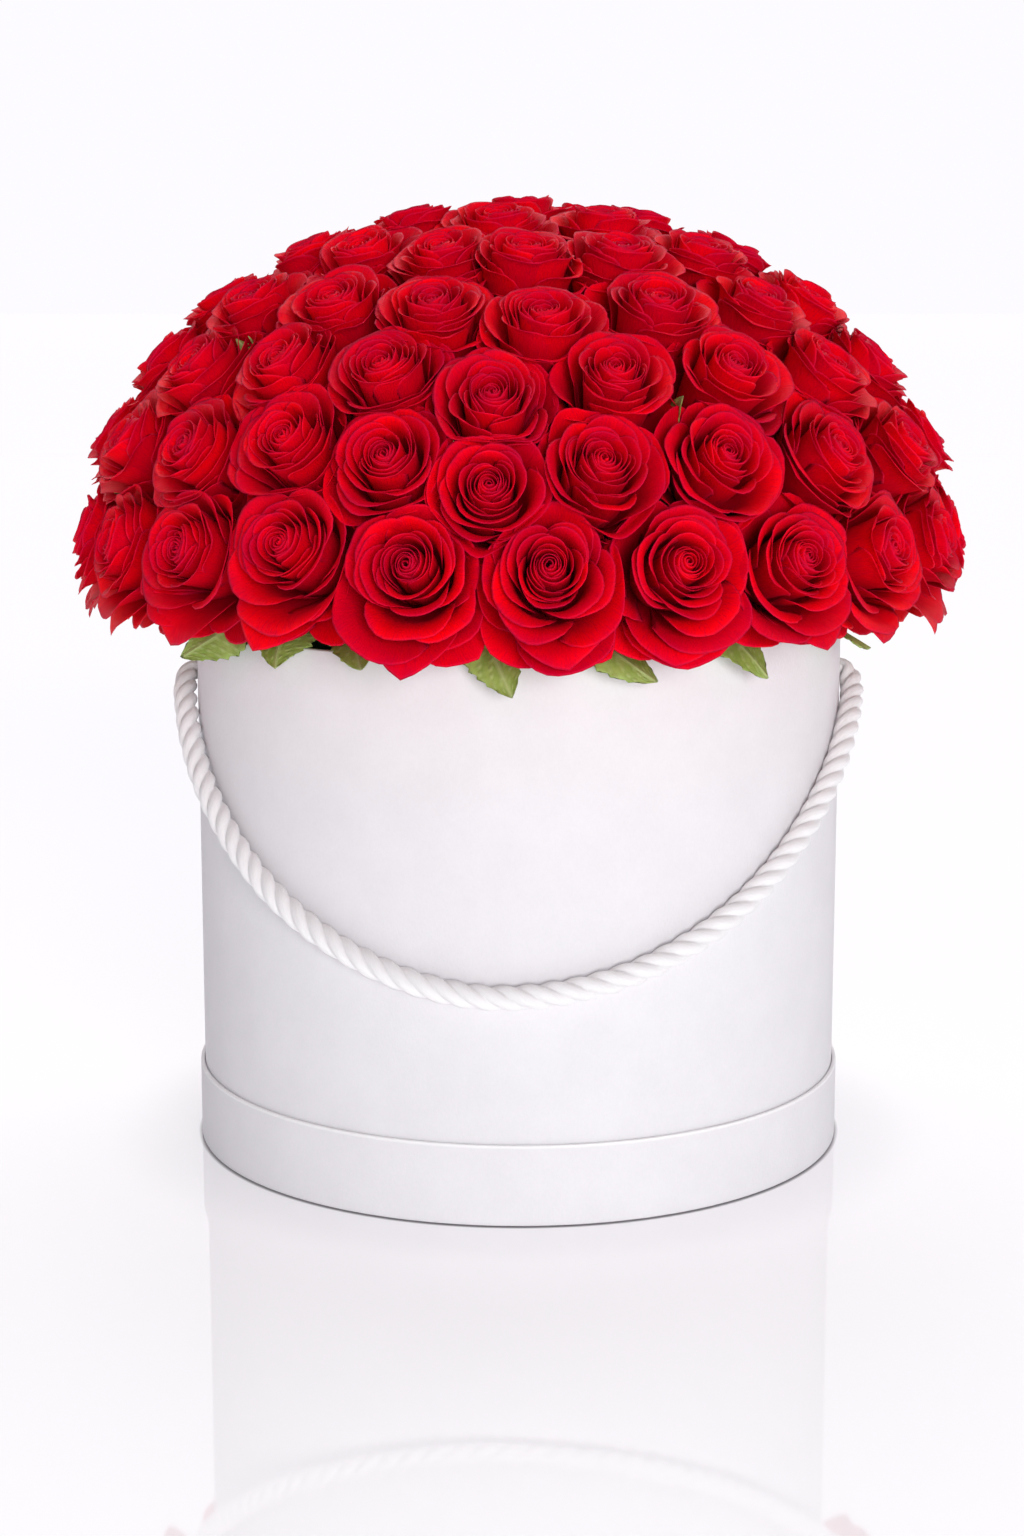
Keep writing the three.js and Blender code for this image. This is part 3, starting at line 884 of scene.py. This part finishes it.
def make_lid():
    """The upturned lid: a disc and a rim strip of board in one skin of paper, turned over the rim's edge."""
    inside = BOX_RADIUS + REST_GAP
    wrap = [
        (0, 0),
        (LID_RADIUS, 0),
        (LID_RADIUS, LID_HEIGHT - FOLD_HIGHLIGHT_WIDTH),
        (LID_RADIUS, LID_HEIGHT),
        (inside, LID_HEIGHT),
        (inside, LID_HEIGHT - LID_TURN_IN),
        (inside + PAPER, LID_HEIGHT - LID_TURN_IN),
        (inside + PAPER, LID_HEIGHT - PAPER),
        (LID_RADIUS - PAPER, LID_HEIGHT - PAPER),
        (LID_RADIUS - PAPER, PAPER),
        (0, PAPER),
    ]
    radii = [THIN_EDGE_RADIUS] * len(wrap)
    radii[:5] = LID_EDGE_RADII
    points, faces = turned(wrap, radii)
    points = seamed(points, LID_RADIUS)
    cover = piece("lid_cover_paper", points, faces, "lid", "cover_paper", "lid_wrap")
    # The mask of the painted highlight along the outside of the lid's folded edge
    outer = np.hypot(points[:, 0], points[:, 1]) > inside + 2 * PAPER
    store(cover, "fold_highlight", outer * np.clip((points[:, 2] - LID_HEIGHT + FOLD_HIGHLIGHT_WIDTH) / FOLD_HIGHLIGHT_WIDTH, 0, 1))
    top = disc(LID_DISC_RADIUS, LID_DISC_FROM, LID_DISC_TO)
    turned_piece("lid_top_board", top, DISC_EDGE_RADIUS, "lid", "greyboard", "lid_disc")
    rim = sleeve(LID_RIM_OUTSIDE - LID_RIM_BOARD, LID_RIM_OUTSIDE, LID_RIM_FROM, LID_RIM_TO)
    turned_piece("lid_rim_board", rim, LID_RIM_EDGE_RADIUS, "lid", "greyboard", "lid_rim")


make_box()
make_lid()


# --- What stands in the box ------------------------------------------------------------------


def make_filler():
    """A drum of corrugated card, its flutes upright on the side."""
    drum_profile = disc(FILLER_RADIUS, FILLER_FROM, FILLER_TO)
    points, faces = turned(drum_profile, FILLER_EDGE_RADIUS, POINTS_PER_FLUTE * FLUTES)
    radius = np.hypot(points[:, 0], points[:, 1])
    angle = np.arctan2(points[:, 0], -points[:, 1])
    wave = 0.5 + 0.5 * np.cos(FLUTES * angle)
    rim = np.clip((radius - FILLER_RADIUS + 3) / 2, 0, 1)
    shrink = 1 - FLUTE_DEPTH * (1 - wave) * rim / np.maximum(radius, 1)
    drum = piece("filler_drum", moved_out(points, shrink), faces, "box", "corrugated_card", "filler_block")
    # The mask of the painted shade in the flutes' valleys; the ends get a fixed value
    store(drum, "flute_shading", np.where(rim > 0.5, wave, 0.8))


def make_liner():
    """A thin pot with a small lip."""
    radius = LINER_OUTSIDE - LINER_LIP
    profile = [
        (0, LINER_FROM),
        (radius, LINER_FROM),
        (radius, LINER_TOP - LINER_LIP),
        (LINER_OUTSIDE, LINER_TOP - LINER_LIP),
        (LINER_OUTSIDE, LINER_TOP),
        (radius - LINER_WALL, LINER_TOP),
        (radius - LINER_WALL, LINER_FROM + LINER_WALL),
        (0, LINER_FROM + LINER_WALL),
    ]
    turned_piece("liner_pot", profile, LINER_EDGE_RADIUS, "bouquet", "liner_plastic", "liner")


def make_foam():
    """A block of wet foam, carved to a rough dome above the pot."""
    rise = FOAM_TOP - DOME_CENTRE
    profile = [(0, FOAM_FROM), (FOAM_RADIUS, FOAM_FROM)]
    for i in range(FOAM_STEPS):
        latitude = i * math.pi / (2 * FOAM_STEPS)
        profile.append((FOAM_RADIUS * math.cos(latitude), DOME_CENTRE + rise * math.sin(latitude)))
    points, faces = turned([*profile, (0, FOAM_TOP)], FOAM_EDGE_RADIUS, FOAM_SIDES)
    rough = np.random.default_rng(SEED).random(len(points))
    carved = 1 - FOAM_CARVED_BY * rough * (points[:, 2] > DOME_CENTRE - FOAM_CARVED_FROM)
    piece("foam_dome", moved_out(points, carved), faces, "bouquet", "floral_foam", "foam")


make_filler()
make_liner()
make_foam()


# --- Roses -----------------------------------------------------------------------------------


def nudged(latitude, azimuth, place):
    """How many degrees a rose is moved up or down by one sag or rise of the rows."""
    lowest, highest = place["between"]
    if not lowest <= latitude <= highest:
        return 0
    return place["by"] * math.exp(-(((azimuth - place["at"]) / place["width"]) ** 2))


def roses_of(ring):
    """Where each rose of a ring has its face, which way it looks, and which way runs along the ring."""
    roses = []
    for i in range(ring["count"]):
        even = ring["turn"] + i * 360 / ring["count"]
        if even > 180:
            even -= 360
        azimuth = even - ring["wave"] * math.sin(math.radians(ARRANGING_WAVES * (even + ARRANGING_PHASE)))
        shift = sum(nudged(ring["latitude"], azimuth, place) for place in (SAG, RISE))
        latitude = math.radians(ring["latitude"] + shift)
        outwards, along = round_at(math.radians(azimuth))
        face = outwards * DOME_RADIUS * math.cos(latitude)
        face = face + UP * (DOME_CENTRE + DOME_RISE * math.sin(latitude))
        looks = unit(outwards * math.cos(latitude) / DOME_RADIUS + UP * math.sin(latitude) / DOME_RISE)
        roses.append(
            {
                "face": face,
                "looks": looks,
                "along": along,
                "up": np.cross(looks, along),
                "widest": face - BLOOM_WIDEST_DEPTH * looks,
                "stem_end": ring["stem_end"],
                "ring": ring["name"],
            }
        )
    return roses


def arranged_roses():
    """All roses, numbered, each with its group, which is the CAD node that stands for it."""
    roses = []
    for ring in RINGS:
        count, groups = ring["count"], ring["groups"]
        starts = [math.floor(group * count / groups + 0.5) for group in range(1, groups + 1)]
        for index, rose in enumerate(roses_of(ring)):
            rose["group"] = sum(index >= start for start in starts)
            rose["number"] = len(roses)
            roses.append(rose)
    return roses


def petals_of(rng, drooping):
    """The measures of every petal of one rose, from the middle outwards: a dictionary of arrays.

    Each has its rim's radius and level, its lean, half width and azimuth, and how pointed and how
    narrow towards the tip it is. The lowest roses of the dome also have drooping petals.
    """
    place = np.linspace(0, 1, PETALS)
    radius = read(RIM_RADIUS, place) * rng.uniform(0.88, 1.12, PETALS)
    azimuth = GOLDEN_ANGLE * np.arange(PETALS) + rng.uniform(-0.6, 0.6, PETALS)
    petals = {
        "radius": radius,
        "level": read(RIM_LEVEL, radius) + rng.uniform(-0.9, 0.9, PETALS) * (0.5 + radius / 20),
        "lean": np.radians(read(RIM_LEAN, radius) + rng.uniform(-6, 6, PETALS)),
        "half": read(HALF_WIDTH, radius) * rng.uniform(0.78, 1.1, PETALS),
        "azimuth": azimuth + rng.uniform(0, 2 * np.pi),
        "point": rng.uniform(0.1, 0.7, PETALS) * np.clip(radius / 25, 0, 1),
        "taper": np.zeros(PETALS),
    }
    backing = {
        "radius": rng.uniform(29, 33, BACKING_PETALS),
        "level": rng.uniform(-22, -19, BACKING_PETALS),
        "lean": np.radians(rng.uniform(55, 65, BACKING_PETALS)),
        "half": rng.uniform(30, 34, BACKING_PETALS),
        "azimuth": rng.uniform(0, 2 * np.pi) + even_angles(BACKING_PETALS),
        "point": rng.uniform(0.5, 2, BACKING_PETALS),
        "taper": np.zeros(BACKING_PETALS),
    }
    petals = {key: np.append(values, backing[key]) for key, values in petals.items()}
    if drooping:
        below = LOWER + rng.uniform(-0.25, 0.25)
        open_ones = np.clip((petals["radius"] - 16) / 12, 0, 1)
        petals["radius"] *= 1 + DROOP * open_ones * np.clip(np.cos(petals["azimuth"] - below), 0, 1) ** 1.5
        extra = {
            "radius": [35, 35.5, 35.5 + rng.uniform(-1.5, 1.5)],
            "level": [-28, -30, -14],
            "lean": np.radians([66, 66, 80]),
            "half": [30, 30, 36],
            "azimuth": [LOWER - 0.75, LOWER + 0.75, below],
            "point": [2, 2, 6],
            "taper": [0.1, 0.1, 0.2 + rng.uniform(-0.06, 0.04)],
        }
        petals = {key: np.append(values, extra[key]) for key, values in petals.items()}
    return petals


def wavy(rng, petals, across, waves):
    """A smooth random ripple across each petal."""
    ripple = np.zeros((petals, 1, across.size))
    for count in waves:
        phase = rng.uniform(0, 2 * np.pi, (petals, 1, 1))
        height = rng.uniform(0.4, 1, (petals, 1, 1)) / count
        ripple += height * np.sin(np.pi * count * across[None, None] + phase)
    return ripple


def petal_grids(rng, drooping):
    """All petals of one rose as grids (petal, row, column, 3), in its own frame, looking along +Z."""
    petals = {key: values[:, None, None] for key, values in petals_of(rng, drooping).items()}
    count = len(petals["radius"])
    across = np.linspace(-1, 1, PETAL_COLUMNS)
    rows = np.array(PETAL_ROWS)[None, :, None]
    u = across[None, None]
    radius, level, lean = petals["radius"], petals["level"], petals["lean"]
    outer = np.clip((radius - 8) / 16, 0, 1)

    # The petal's outline: rounded shoulders, and a small point in the middle of the rim
    shoulder = 1 - 0.05 * u**2 - (0.16 + 0.06 * outer) * u**4 - petals["taper"] * np.abs(u) ** 1.3
    tip = 0.016 * petals["point"] * (np.exp(-np.abs(u) / 0.28) - 0.3)
    s = rows * np.minimum(shoulder + tip, 1.06)

    # The middle line from base to rim, a cubic curve in radius and level
    base = np.minimum(1.5 + 0.11 * np.arange(count), 5.4)[:, None, None]
    reach = 8 + 5 * outer
    bulge = np.minimum(0.62 * radius + 4.6, 17.5)
    curve_r = [base, bulge + 1.5 * outer, radius - reach * np.sin(lean), radius]
    curve_z = [BLOOM_BASE + 0 * radius, BLOOM_BASE + 4 + 2 * outer, level - reach * np.cos(lean), level]
    weights = [(1 - s) ** 3, 3 * (1 - s) ** 2 * s, 3 * (1 - s) * s**2, s**3]
    r = sum(weight * part for weight, part in zip(weights, curve_r))
    z = sum(weight * part for weight, part in zip(weights, curve_z))

    # The rim rolls back, the sides of open petals fold down, and everything ripples a little
    near_rim = np.clip((s - 0.84) / 0.16, 0, 1.3) ** 2
    roll = (0.15 + 0.85 * np.clip(radius / 14, 0, 1)) * near_rim
    r = r + roll * np.cos(lean)
    z = z - roll * (np.sin(lean) * 0.9 + 0.15)
    side = np.clip((np.abs(u) - 0.62) / 0.38, 0, 1) ** 2 * s**3
    z = z - outer * 2.2 * side
    ripple = wavy(rng, count, across, (1, 2, 3)) * s**3
    crimp = wavy(rng, count, across, (5, 7)) * np.clip((s - 0.7) / 0.3, 0, 1) ** 2
    r = r + ripple * (0.25 + 0.75 * outer) + crimp * 0.3 * outer
    z = z + wavy(rng, count, across, (1, 2, 4)) * s**4 * (0.4 + 0.7 * outer) + crimp * 0.4 * outer

    # Round the axis, spiralling slightly outwards and a little flatter than a circle
    spread = np.minimum(petals["half"] / radius, 2.6)
    angle = petals["azimuth"] + u * spread * (0.78 + 0.22 * rows)
    r = r * (1 - 0.04 * outer * u**2) + 1.1 * u * spread * s * np.clip(radius / 8, 0.2, 1)
    r = np.maximum(r, 0.25)
    grid = np.stack([r * np.cos(angle), r * np.sin(angle), z + 0 * angle], -1)
    from_rim = np.minimum((1 - rows) * PETAL_HEIGHT, (1 - np.abs(u)) * petals["half"]) + 0 * angle
    stored = {
        "along": s + 0 * angle,
        "across": (u + 0 * angle) * petals["half"] / 20,
        "tone": rng.random((count, 1, 1)) + 0 * angle,
        # the mask of the painted highlight along the rim
        "rim": np.exp(-from_rim / RIM_HIGHLIGHT_WIDTH),
        "edge": np.exp(-from_rim / EDGE_WIDTH),
    }
    return grid, stored


def pressed(points, rose, neighbours):
    """Eases petals that reach a neighbour's rose back towards their own, one edge over the other."""
    for other in neighbours:
        towards = other["widest"] - rose["widest"]
        distance = np.linalg.norm(towards)
        towards = towards / distance
        beyond = (points - rose["widest"]) @ towards - distance / 2
        close = beyond > -PRESSED_FROM
        if not close.any():
            continue
        past = beyond[close] + PRESSED_FROM
        room = PRESSED_FROM + PRESSED_STOP
        kept = room * (1 - np.exp(-past / room))
        order = 1 if rose["number"] < other["number"] else -1
        points[close] += np.outer(kept - past, towards)
        points[close] += np.outer(order * PRESSED_LIFT * past, rose["looks"])
    return points


def make_bloom(rose, neighbours, name, node):
    """One rose's petals as one piece, turned a little from the dome's direction."""
    rng = np.random.default_rng([SEED, rose["number"]])
    grid, stored = petal_grids(rng, rose["ring"] == "row1")
    size = rng.uniform(*ROSE_SIZES)
    tilt = rng.uniform(-ROSE_TILT, ROSE_TILT, 2)
    raised = math.tan(math.radians(FACES_UP[rose["ring"]]))
    looks = unit(rose["looks"] + tilt[0] * rose["along"] + (tilt[1] + raised) * rose["up"])
    along = unit(rose["along"] - looks * (rose["along"] @ looks))
    axes = np.stack([along, np.cross(looks, along), looks])
    oval = 1 + rng.uniform(-ROSE_OVAL, ROSE_OVAL)
    world = (grid * size * (oval, 1 / oval, 1)).reshape(-1, 3) @ axes + rose["face"]
    world = pressed(world, rose, neighbours).reshape(grid.shape)
    points, faces = sheets(world, PETAL_THICKNESS)
    bloom = piece(name, points, faces, "bouquet", "rose", node)
    for key, values in stored.items():
        store(bloom, key, both_layers(values, values))


def apart(rose, other):
    """The distance between two roses, where they are widest."""
    return np.linalg.norm(other["widest"] - rose["widest"])


def make_blooms():
    """Every rose's petals, pressed against those of its neighbours."""
    for rose in all_roses:
        near = [other for other in all_roses if other is not rose and apart(rose, other) < NEIGHBOUR_WITHIN]
        node = f"roses_{rose['ring']}_{rose['group'] + 1:02d}"
        make_bloom(rose, near, f"rose_{rose['ring']}_{rose['number'] + 1:03d}", node)


def stem_and_hip(rose):
    """A rose's stem, its swollen hip, and five pointed sepals bent back under the bloom.

    Gives back their points and faces, and how much each shows the paler colour of veins.
    """
    rng = np.random.default_rng([SEED, FIRST_STEM_SEED + rose["number"]])
    depths = [depth for depth, _ in HIP] + STEM_DEPTHS + [rose["stem_end"]]
    radii = [radius for _, radius in HIP] + [STEM_RADIUS] * (len(STEM_DEPTHS) + 1)
    line = rose["face"] - np.array(depths, float)[:, None] * rose["looks"]
    stem = tube(line, radii, STEM_SIDES)
    parts, veins = [stem], [np.full(len(stem[0]), STEM_PALENESS)]
    axes = np.stack([rose["along"], rose["up"], rose["looks"]])
    u = np.linspace(-1, 1, 5)[None, :]
    s = np.linspace(0, 1, 9)[:, None]
    for i in range(SEPALS):
        turn = 2 * np.pi * (i + rng.uniform(-0.1, 0.1)) / SEPALS + rose["number"]
        length = rng.uniform(*SEPAL_LENGTHS)
        width = SEPAL_WIDTH * np.sin(np.pi * np.clip(0.12 + 0.88 * s, 0, 1)) ** 0.7 + 0.15
        r = 4.2 + length * 0.82 * s + 0 * u
        z = -41.5 + 2 * s - 13 * s**2 - 0.6 * np.abs(u) + 0 * u
        side = u * width
        x = r * np.cos(turn) - side * np.sin(turn)
        y = r * np.sin(turn) + side * np.cos(turn)
        sepal = sheets((np.stack([x, y, z], -1) @ axes + rose["face"])[None], SEPAL_THICKNESS)
        parts.append(sepal)
        veins.append(np.full(len(sepal[0]), SEPAL_PALENESS))
    return parts, veins


def make_greens():
    """The stems, hips and sepals of each group of roses, as one piece."""
    groups = {}
    for rose in all_roses:
        groups.setdefault((rose["ring"], rose["group"]), []).append(rose)
    for (ring_name, group), roses in groups.items():
        parts, veins = [], []
        for rose in roses:
            made = stem_and_hip(rose)
            parts += made[0]
            veins += made[1]
        points, faces = join(parts)
        greens = piece(f"stems_{ring_name}_{group + 1:02d}", points, faces, "bouquet", "rose_green")
        store(greens, "vein", np.concatenate(veins))


all_roses = arranged_roses()
make_blooms()
make_greens()


# --- Leaves ----------------------------------------------------------------------------------


def make_leaf(name, line, side, up, rng, width=LEAF_WIDTH):
    """A serrated leaf along a middle line, folded a little along its midrib."""
    s = np.linspace(0, 1, len(line))[:, None]
    u = np.linspace(-1, 1, 15)[None, :]
    half = width * np.sin(np.pi * s**0.8) ** 0.75 * (1 - 0.25 * s)
    tooth = 1 - 0.2 * ((LEAF_TEETH * s) % 1) * (np.abs(u) > 0.9)
    half = np.maximum(half, 0.25) * tooth
    along_branch = s - BRANCHES_LEAN * np.abs(u)
    wave = 1.1 * np.sin(3 * np.pi * s + rng.uniform(0, 6)) * u**2
    pucker = 0.35 * np.cos(LEAF_PUCKERS * along_branch) * np.abs(u)
    lift = 0.16 * half * np.abs(u) ** 1.3 + wave + pucker
    grid = line[:, None] + side[:, None] * (u * half)[..., None] + up[:, None] * lift[..., None]
    points, faces = sheets(grid[None], LEAF_THICKNESS)
    leaf = piece(name, points, faces, "bouquet", "rose_green")
    midrib = np.exp(-((u * half / 0.8) ** 2))
    branch = np.clip(np.cos(2 * np.pi * LEAF_BRANCHES * along_branch) - 0.75, 0, 1) * 4
    vein = np.maximum(midrib, 0.7 * branch)[None]
    store(leaf, "vein", both_layers(vein, vein))


def rim_leaf(name, start, end, drop, rng):
    """A leaf that comes from under the roses, over the rim, and hangs a little way down outside it."""
    around = np.radians(start + (end - start) * np.array([0, 0.15, 0.4, 0.7, 1]))
    radii = np.array([128, 141, 153, 162, 167 + rng.uniform(-1, 3)])
    heights = RIM_HEIGHT + np.array([18, 12, 7, 3 - 0.45 * drop, -drop])
    line = smooth_line(np.stack([radii * np.sin(around), -radii * np.cos(around), heights], -1), LEAF_STEP)
    outwards, sideways = round_at(around[2])
    tangent = unit(np.gradient(line, axis=0))
    twist = rng.uniform(-0.5, 0.5)
    side = sideways * math.cos(twist) + outwards * math.sin(twist)
    side = unit(side - tangent * (tangent @ side)[:, None])
    make_leaf(name, line, side, np.cross(side, tangent), rng)


def tuft_leaf(name, rose, rng):
    """A small leaf standing up in the gap where three roses meet."""
    others = [other for other in all_roses if other is not rose]
    nearest = min(others, key=lambda other: apart(rose, other))
    rest = [other for other in others if other is not nearest]
    third = min(rest, key=lambda other: apart(rose, other) + apart(nearest, other))
    three = (rose, nearest, third)
    middle = sum(other["widest"] for other in three) / 3
    looks = unit(sum(other["looks"] for other in three))
    bend = rng.uniform(-1, 1, 2) @ np.stack([rose["along"], rose["up"]])
    depths = np.array([-34, -22, -10, TUFT_TIP], float)
    bends = np.array([0, 0, 1.5, 6])
    line = smooth_line(middle + np.outer(depths, looks) + np.outer(bends, bend), LEAF_STEP)
    side = unit(np.cross(looks, bend))
    shape = (len(line), 1)
    make_leaf(name, line, np.tile(side, shape), np.tile(bend, shape), rng, TUFT_WIDTH)


def make_leaves():
    """Leaves over the rim all round, and small ones in some of the gaps between roses."""
    rng = np.random.default_rng(SEED + 1)
    back = [(start, start + rng.uniform(-8, 8), rng.uniform(0, 14)) for start in BACK_LEAVES_START]
    for number, (start, end, drop) in enumerate([*FRONT_LEAVES, *back], 1):
        rim_leaf(f"leaf_{number:02d}", start, end, drop, rng)
    for index, rose in enumerate(all_roses):
        if rose["ring"] in TUFT_RINGS and index % TUFT_EVERY == 0:
            tuft_leaf(f"leaf_between_{index + 1:03d}", rose, rng)


make_leaves()


# --- Floor, light and background ---------------------------------------------------------------

FLOOR_REACH = 30
FLOOR_BELOW = 0.0004
FLOOR_IOR = 2
GLOW_WITHIN = (0.15, 0.21)  # metres from the middle, across which the floor's glow rises from its painted shade near the box
GLOW = (0.34, 0.45)
CONTACT_LINE = (0.2, 1.8)  # millimetres out from the lid, where a painted contact shadow darkens the floor
CONTACT_SHADE = 0.25
SURROUND_LIGHTS = 0.38
SURROUND_SEEN = 1
KEY_SUN = {"azimuth": 14, "elevation": 4.5, "strength": 2.6, "softness": 30}
TOP_SUN = {"azimuth": 180, "elevation": 58, "strength": 1, "softness": 50}


def make_stage():
    """A glossy white floor that glows: painted shade makes it a little darker near the box, and a painted
    contact shadow makes it dark in a fine line where they touch.
    """
    corners = [(-1, -1, 0), (1, -1, 0), (1, 1, 0), (-1, 1, 0)]
    mesh = bpy.data.meshes.new("floor")
    mesh.from_pydata([FLOOR_REACH * np.array(corner) for corner in corners], [], [(0, 1, 2, 3)])
    floor = placed("floor", mesh)
    finish = Finish("Glossy_floor", Roughness=0.035, IOR=FLOOR_IOR, Emission_Color=(0.98, 0.965, 0.99, 1))
    reach = finish.add("VectorMath", {"operation": "LENGTH"}, _0=finish.place()).outputs["Value"]
    # Painted shade: the glow is weaker near the box, darkening the floor round it
    shading = finish.add("MapRange", {"interpolation_type": "SMOOTHERSTEP"}, _0=reach)
    for socket, value in zip(("From Min", "From Max", "To Min", "To Max"), GLOW_WITHIN + GLOW):
        shading.inputs[socket].default_value = value
    shaded = shading.outputs[0]
    # Painted contact shadow: a fine dark line in the floor's colour and glow where the lid stands on it
    line_from, line_to = [(LID_RADIUS + out) * MM for out in CONTACT_LINE]
    contact_shadow = finish.span(reach, line_from, line_to, CONTACT_SHADE, 1)
    unmirrored = finish.span(finish.add("Fresnel", IOR=FLOOR_IOR), 0, 1, 1, 0)
    glow = finish.math("MULTIPLY", shaded, unmirrored)
    finish.set(
        Base_Color=finish.blend(contact_shadow, (0.1, 0.08, 0.1, 1), (0.8, 0.79, 0.81, 1)),
        Emission_Strength=finish.math("MULTIPLY", glow, contact_shadow),
    )
    mesh.materials.append(finish.material)
    floor.location.z = -FLOOR_BELOW


def make_sun(name, azimuth, elevation, strength, softness):
    """A wide soft light, its place in degrees round from the front and up from the floor."""
    light = bpy.data.lights.new(name, "SUN")
    light.energy = strength
    light.angle = math.radians(softness)
    sun = placed(name, light)
    sun.rotation_euler = (math.radians(90 - elevation), 0, math.radians(azimuth))


def make_light():
    """A white surround, seen brighter than it lights, and soft lights from the front and from above."""
    world = bpy.data.worlds.new("Surround")
    bpy.context.scene.world = world
    world.use_nodes = True
    nodes, links = world.node_tree.nodes, world.node_tree.links
    background = nodes["Background"]
    background.inputs["Color"].default_value = (0.98, 0.965, 1, 1)
    path = nodes.new("ShaderNodeLightPath")
    seen = nodes.new("ShaderNodeMath")
    seen.operation = "MAXIMUM"
    links.new(path.outputs["Is Camera Ray"], seen.inputs[0])
    links.new(path.outputs["Is Glossy Ray"], seen.inputs[1])
    strength = nodes.new("ShaderNodeMapRange")
    strength.inputs["To Min"].default_value = SURROUND_LIGHTS
    strength.inputs["To Max"].default_value = SURROUND_SEEN
    links.new(seen.outputs[0], strength.inputs[0])
    links.new(strength.outputs[0], background.inputs["Strength"])
    make_sun("Key", **KEY_SUN)
    make_sun("Top", **TOP_SUN)
    bpy.context.scene.view_settings.view_transform = "Standard"


make_stage()
make_light()
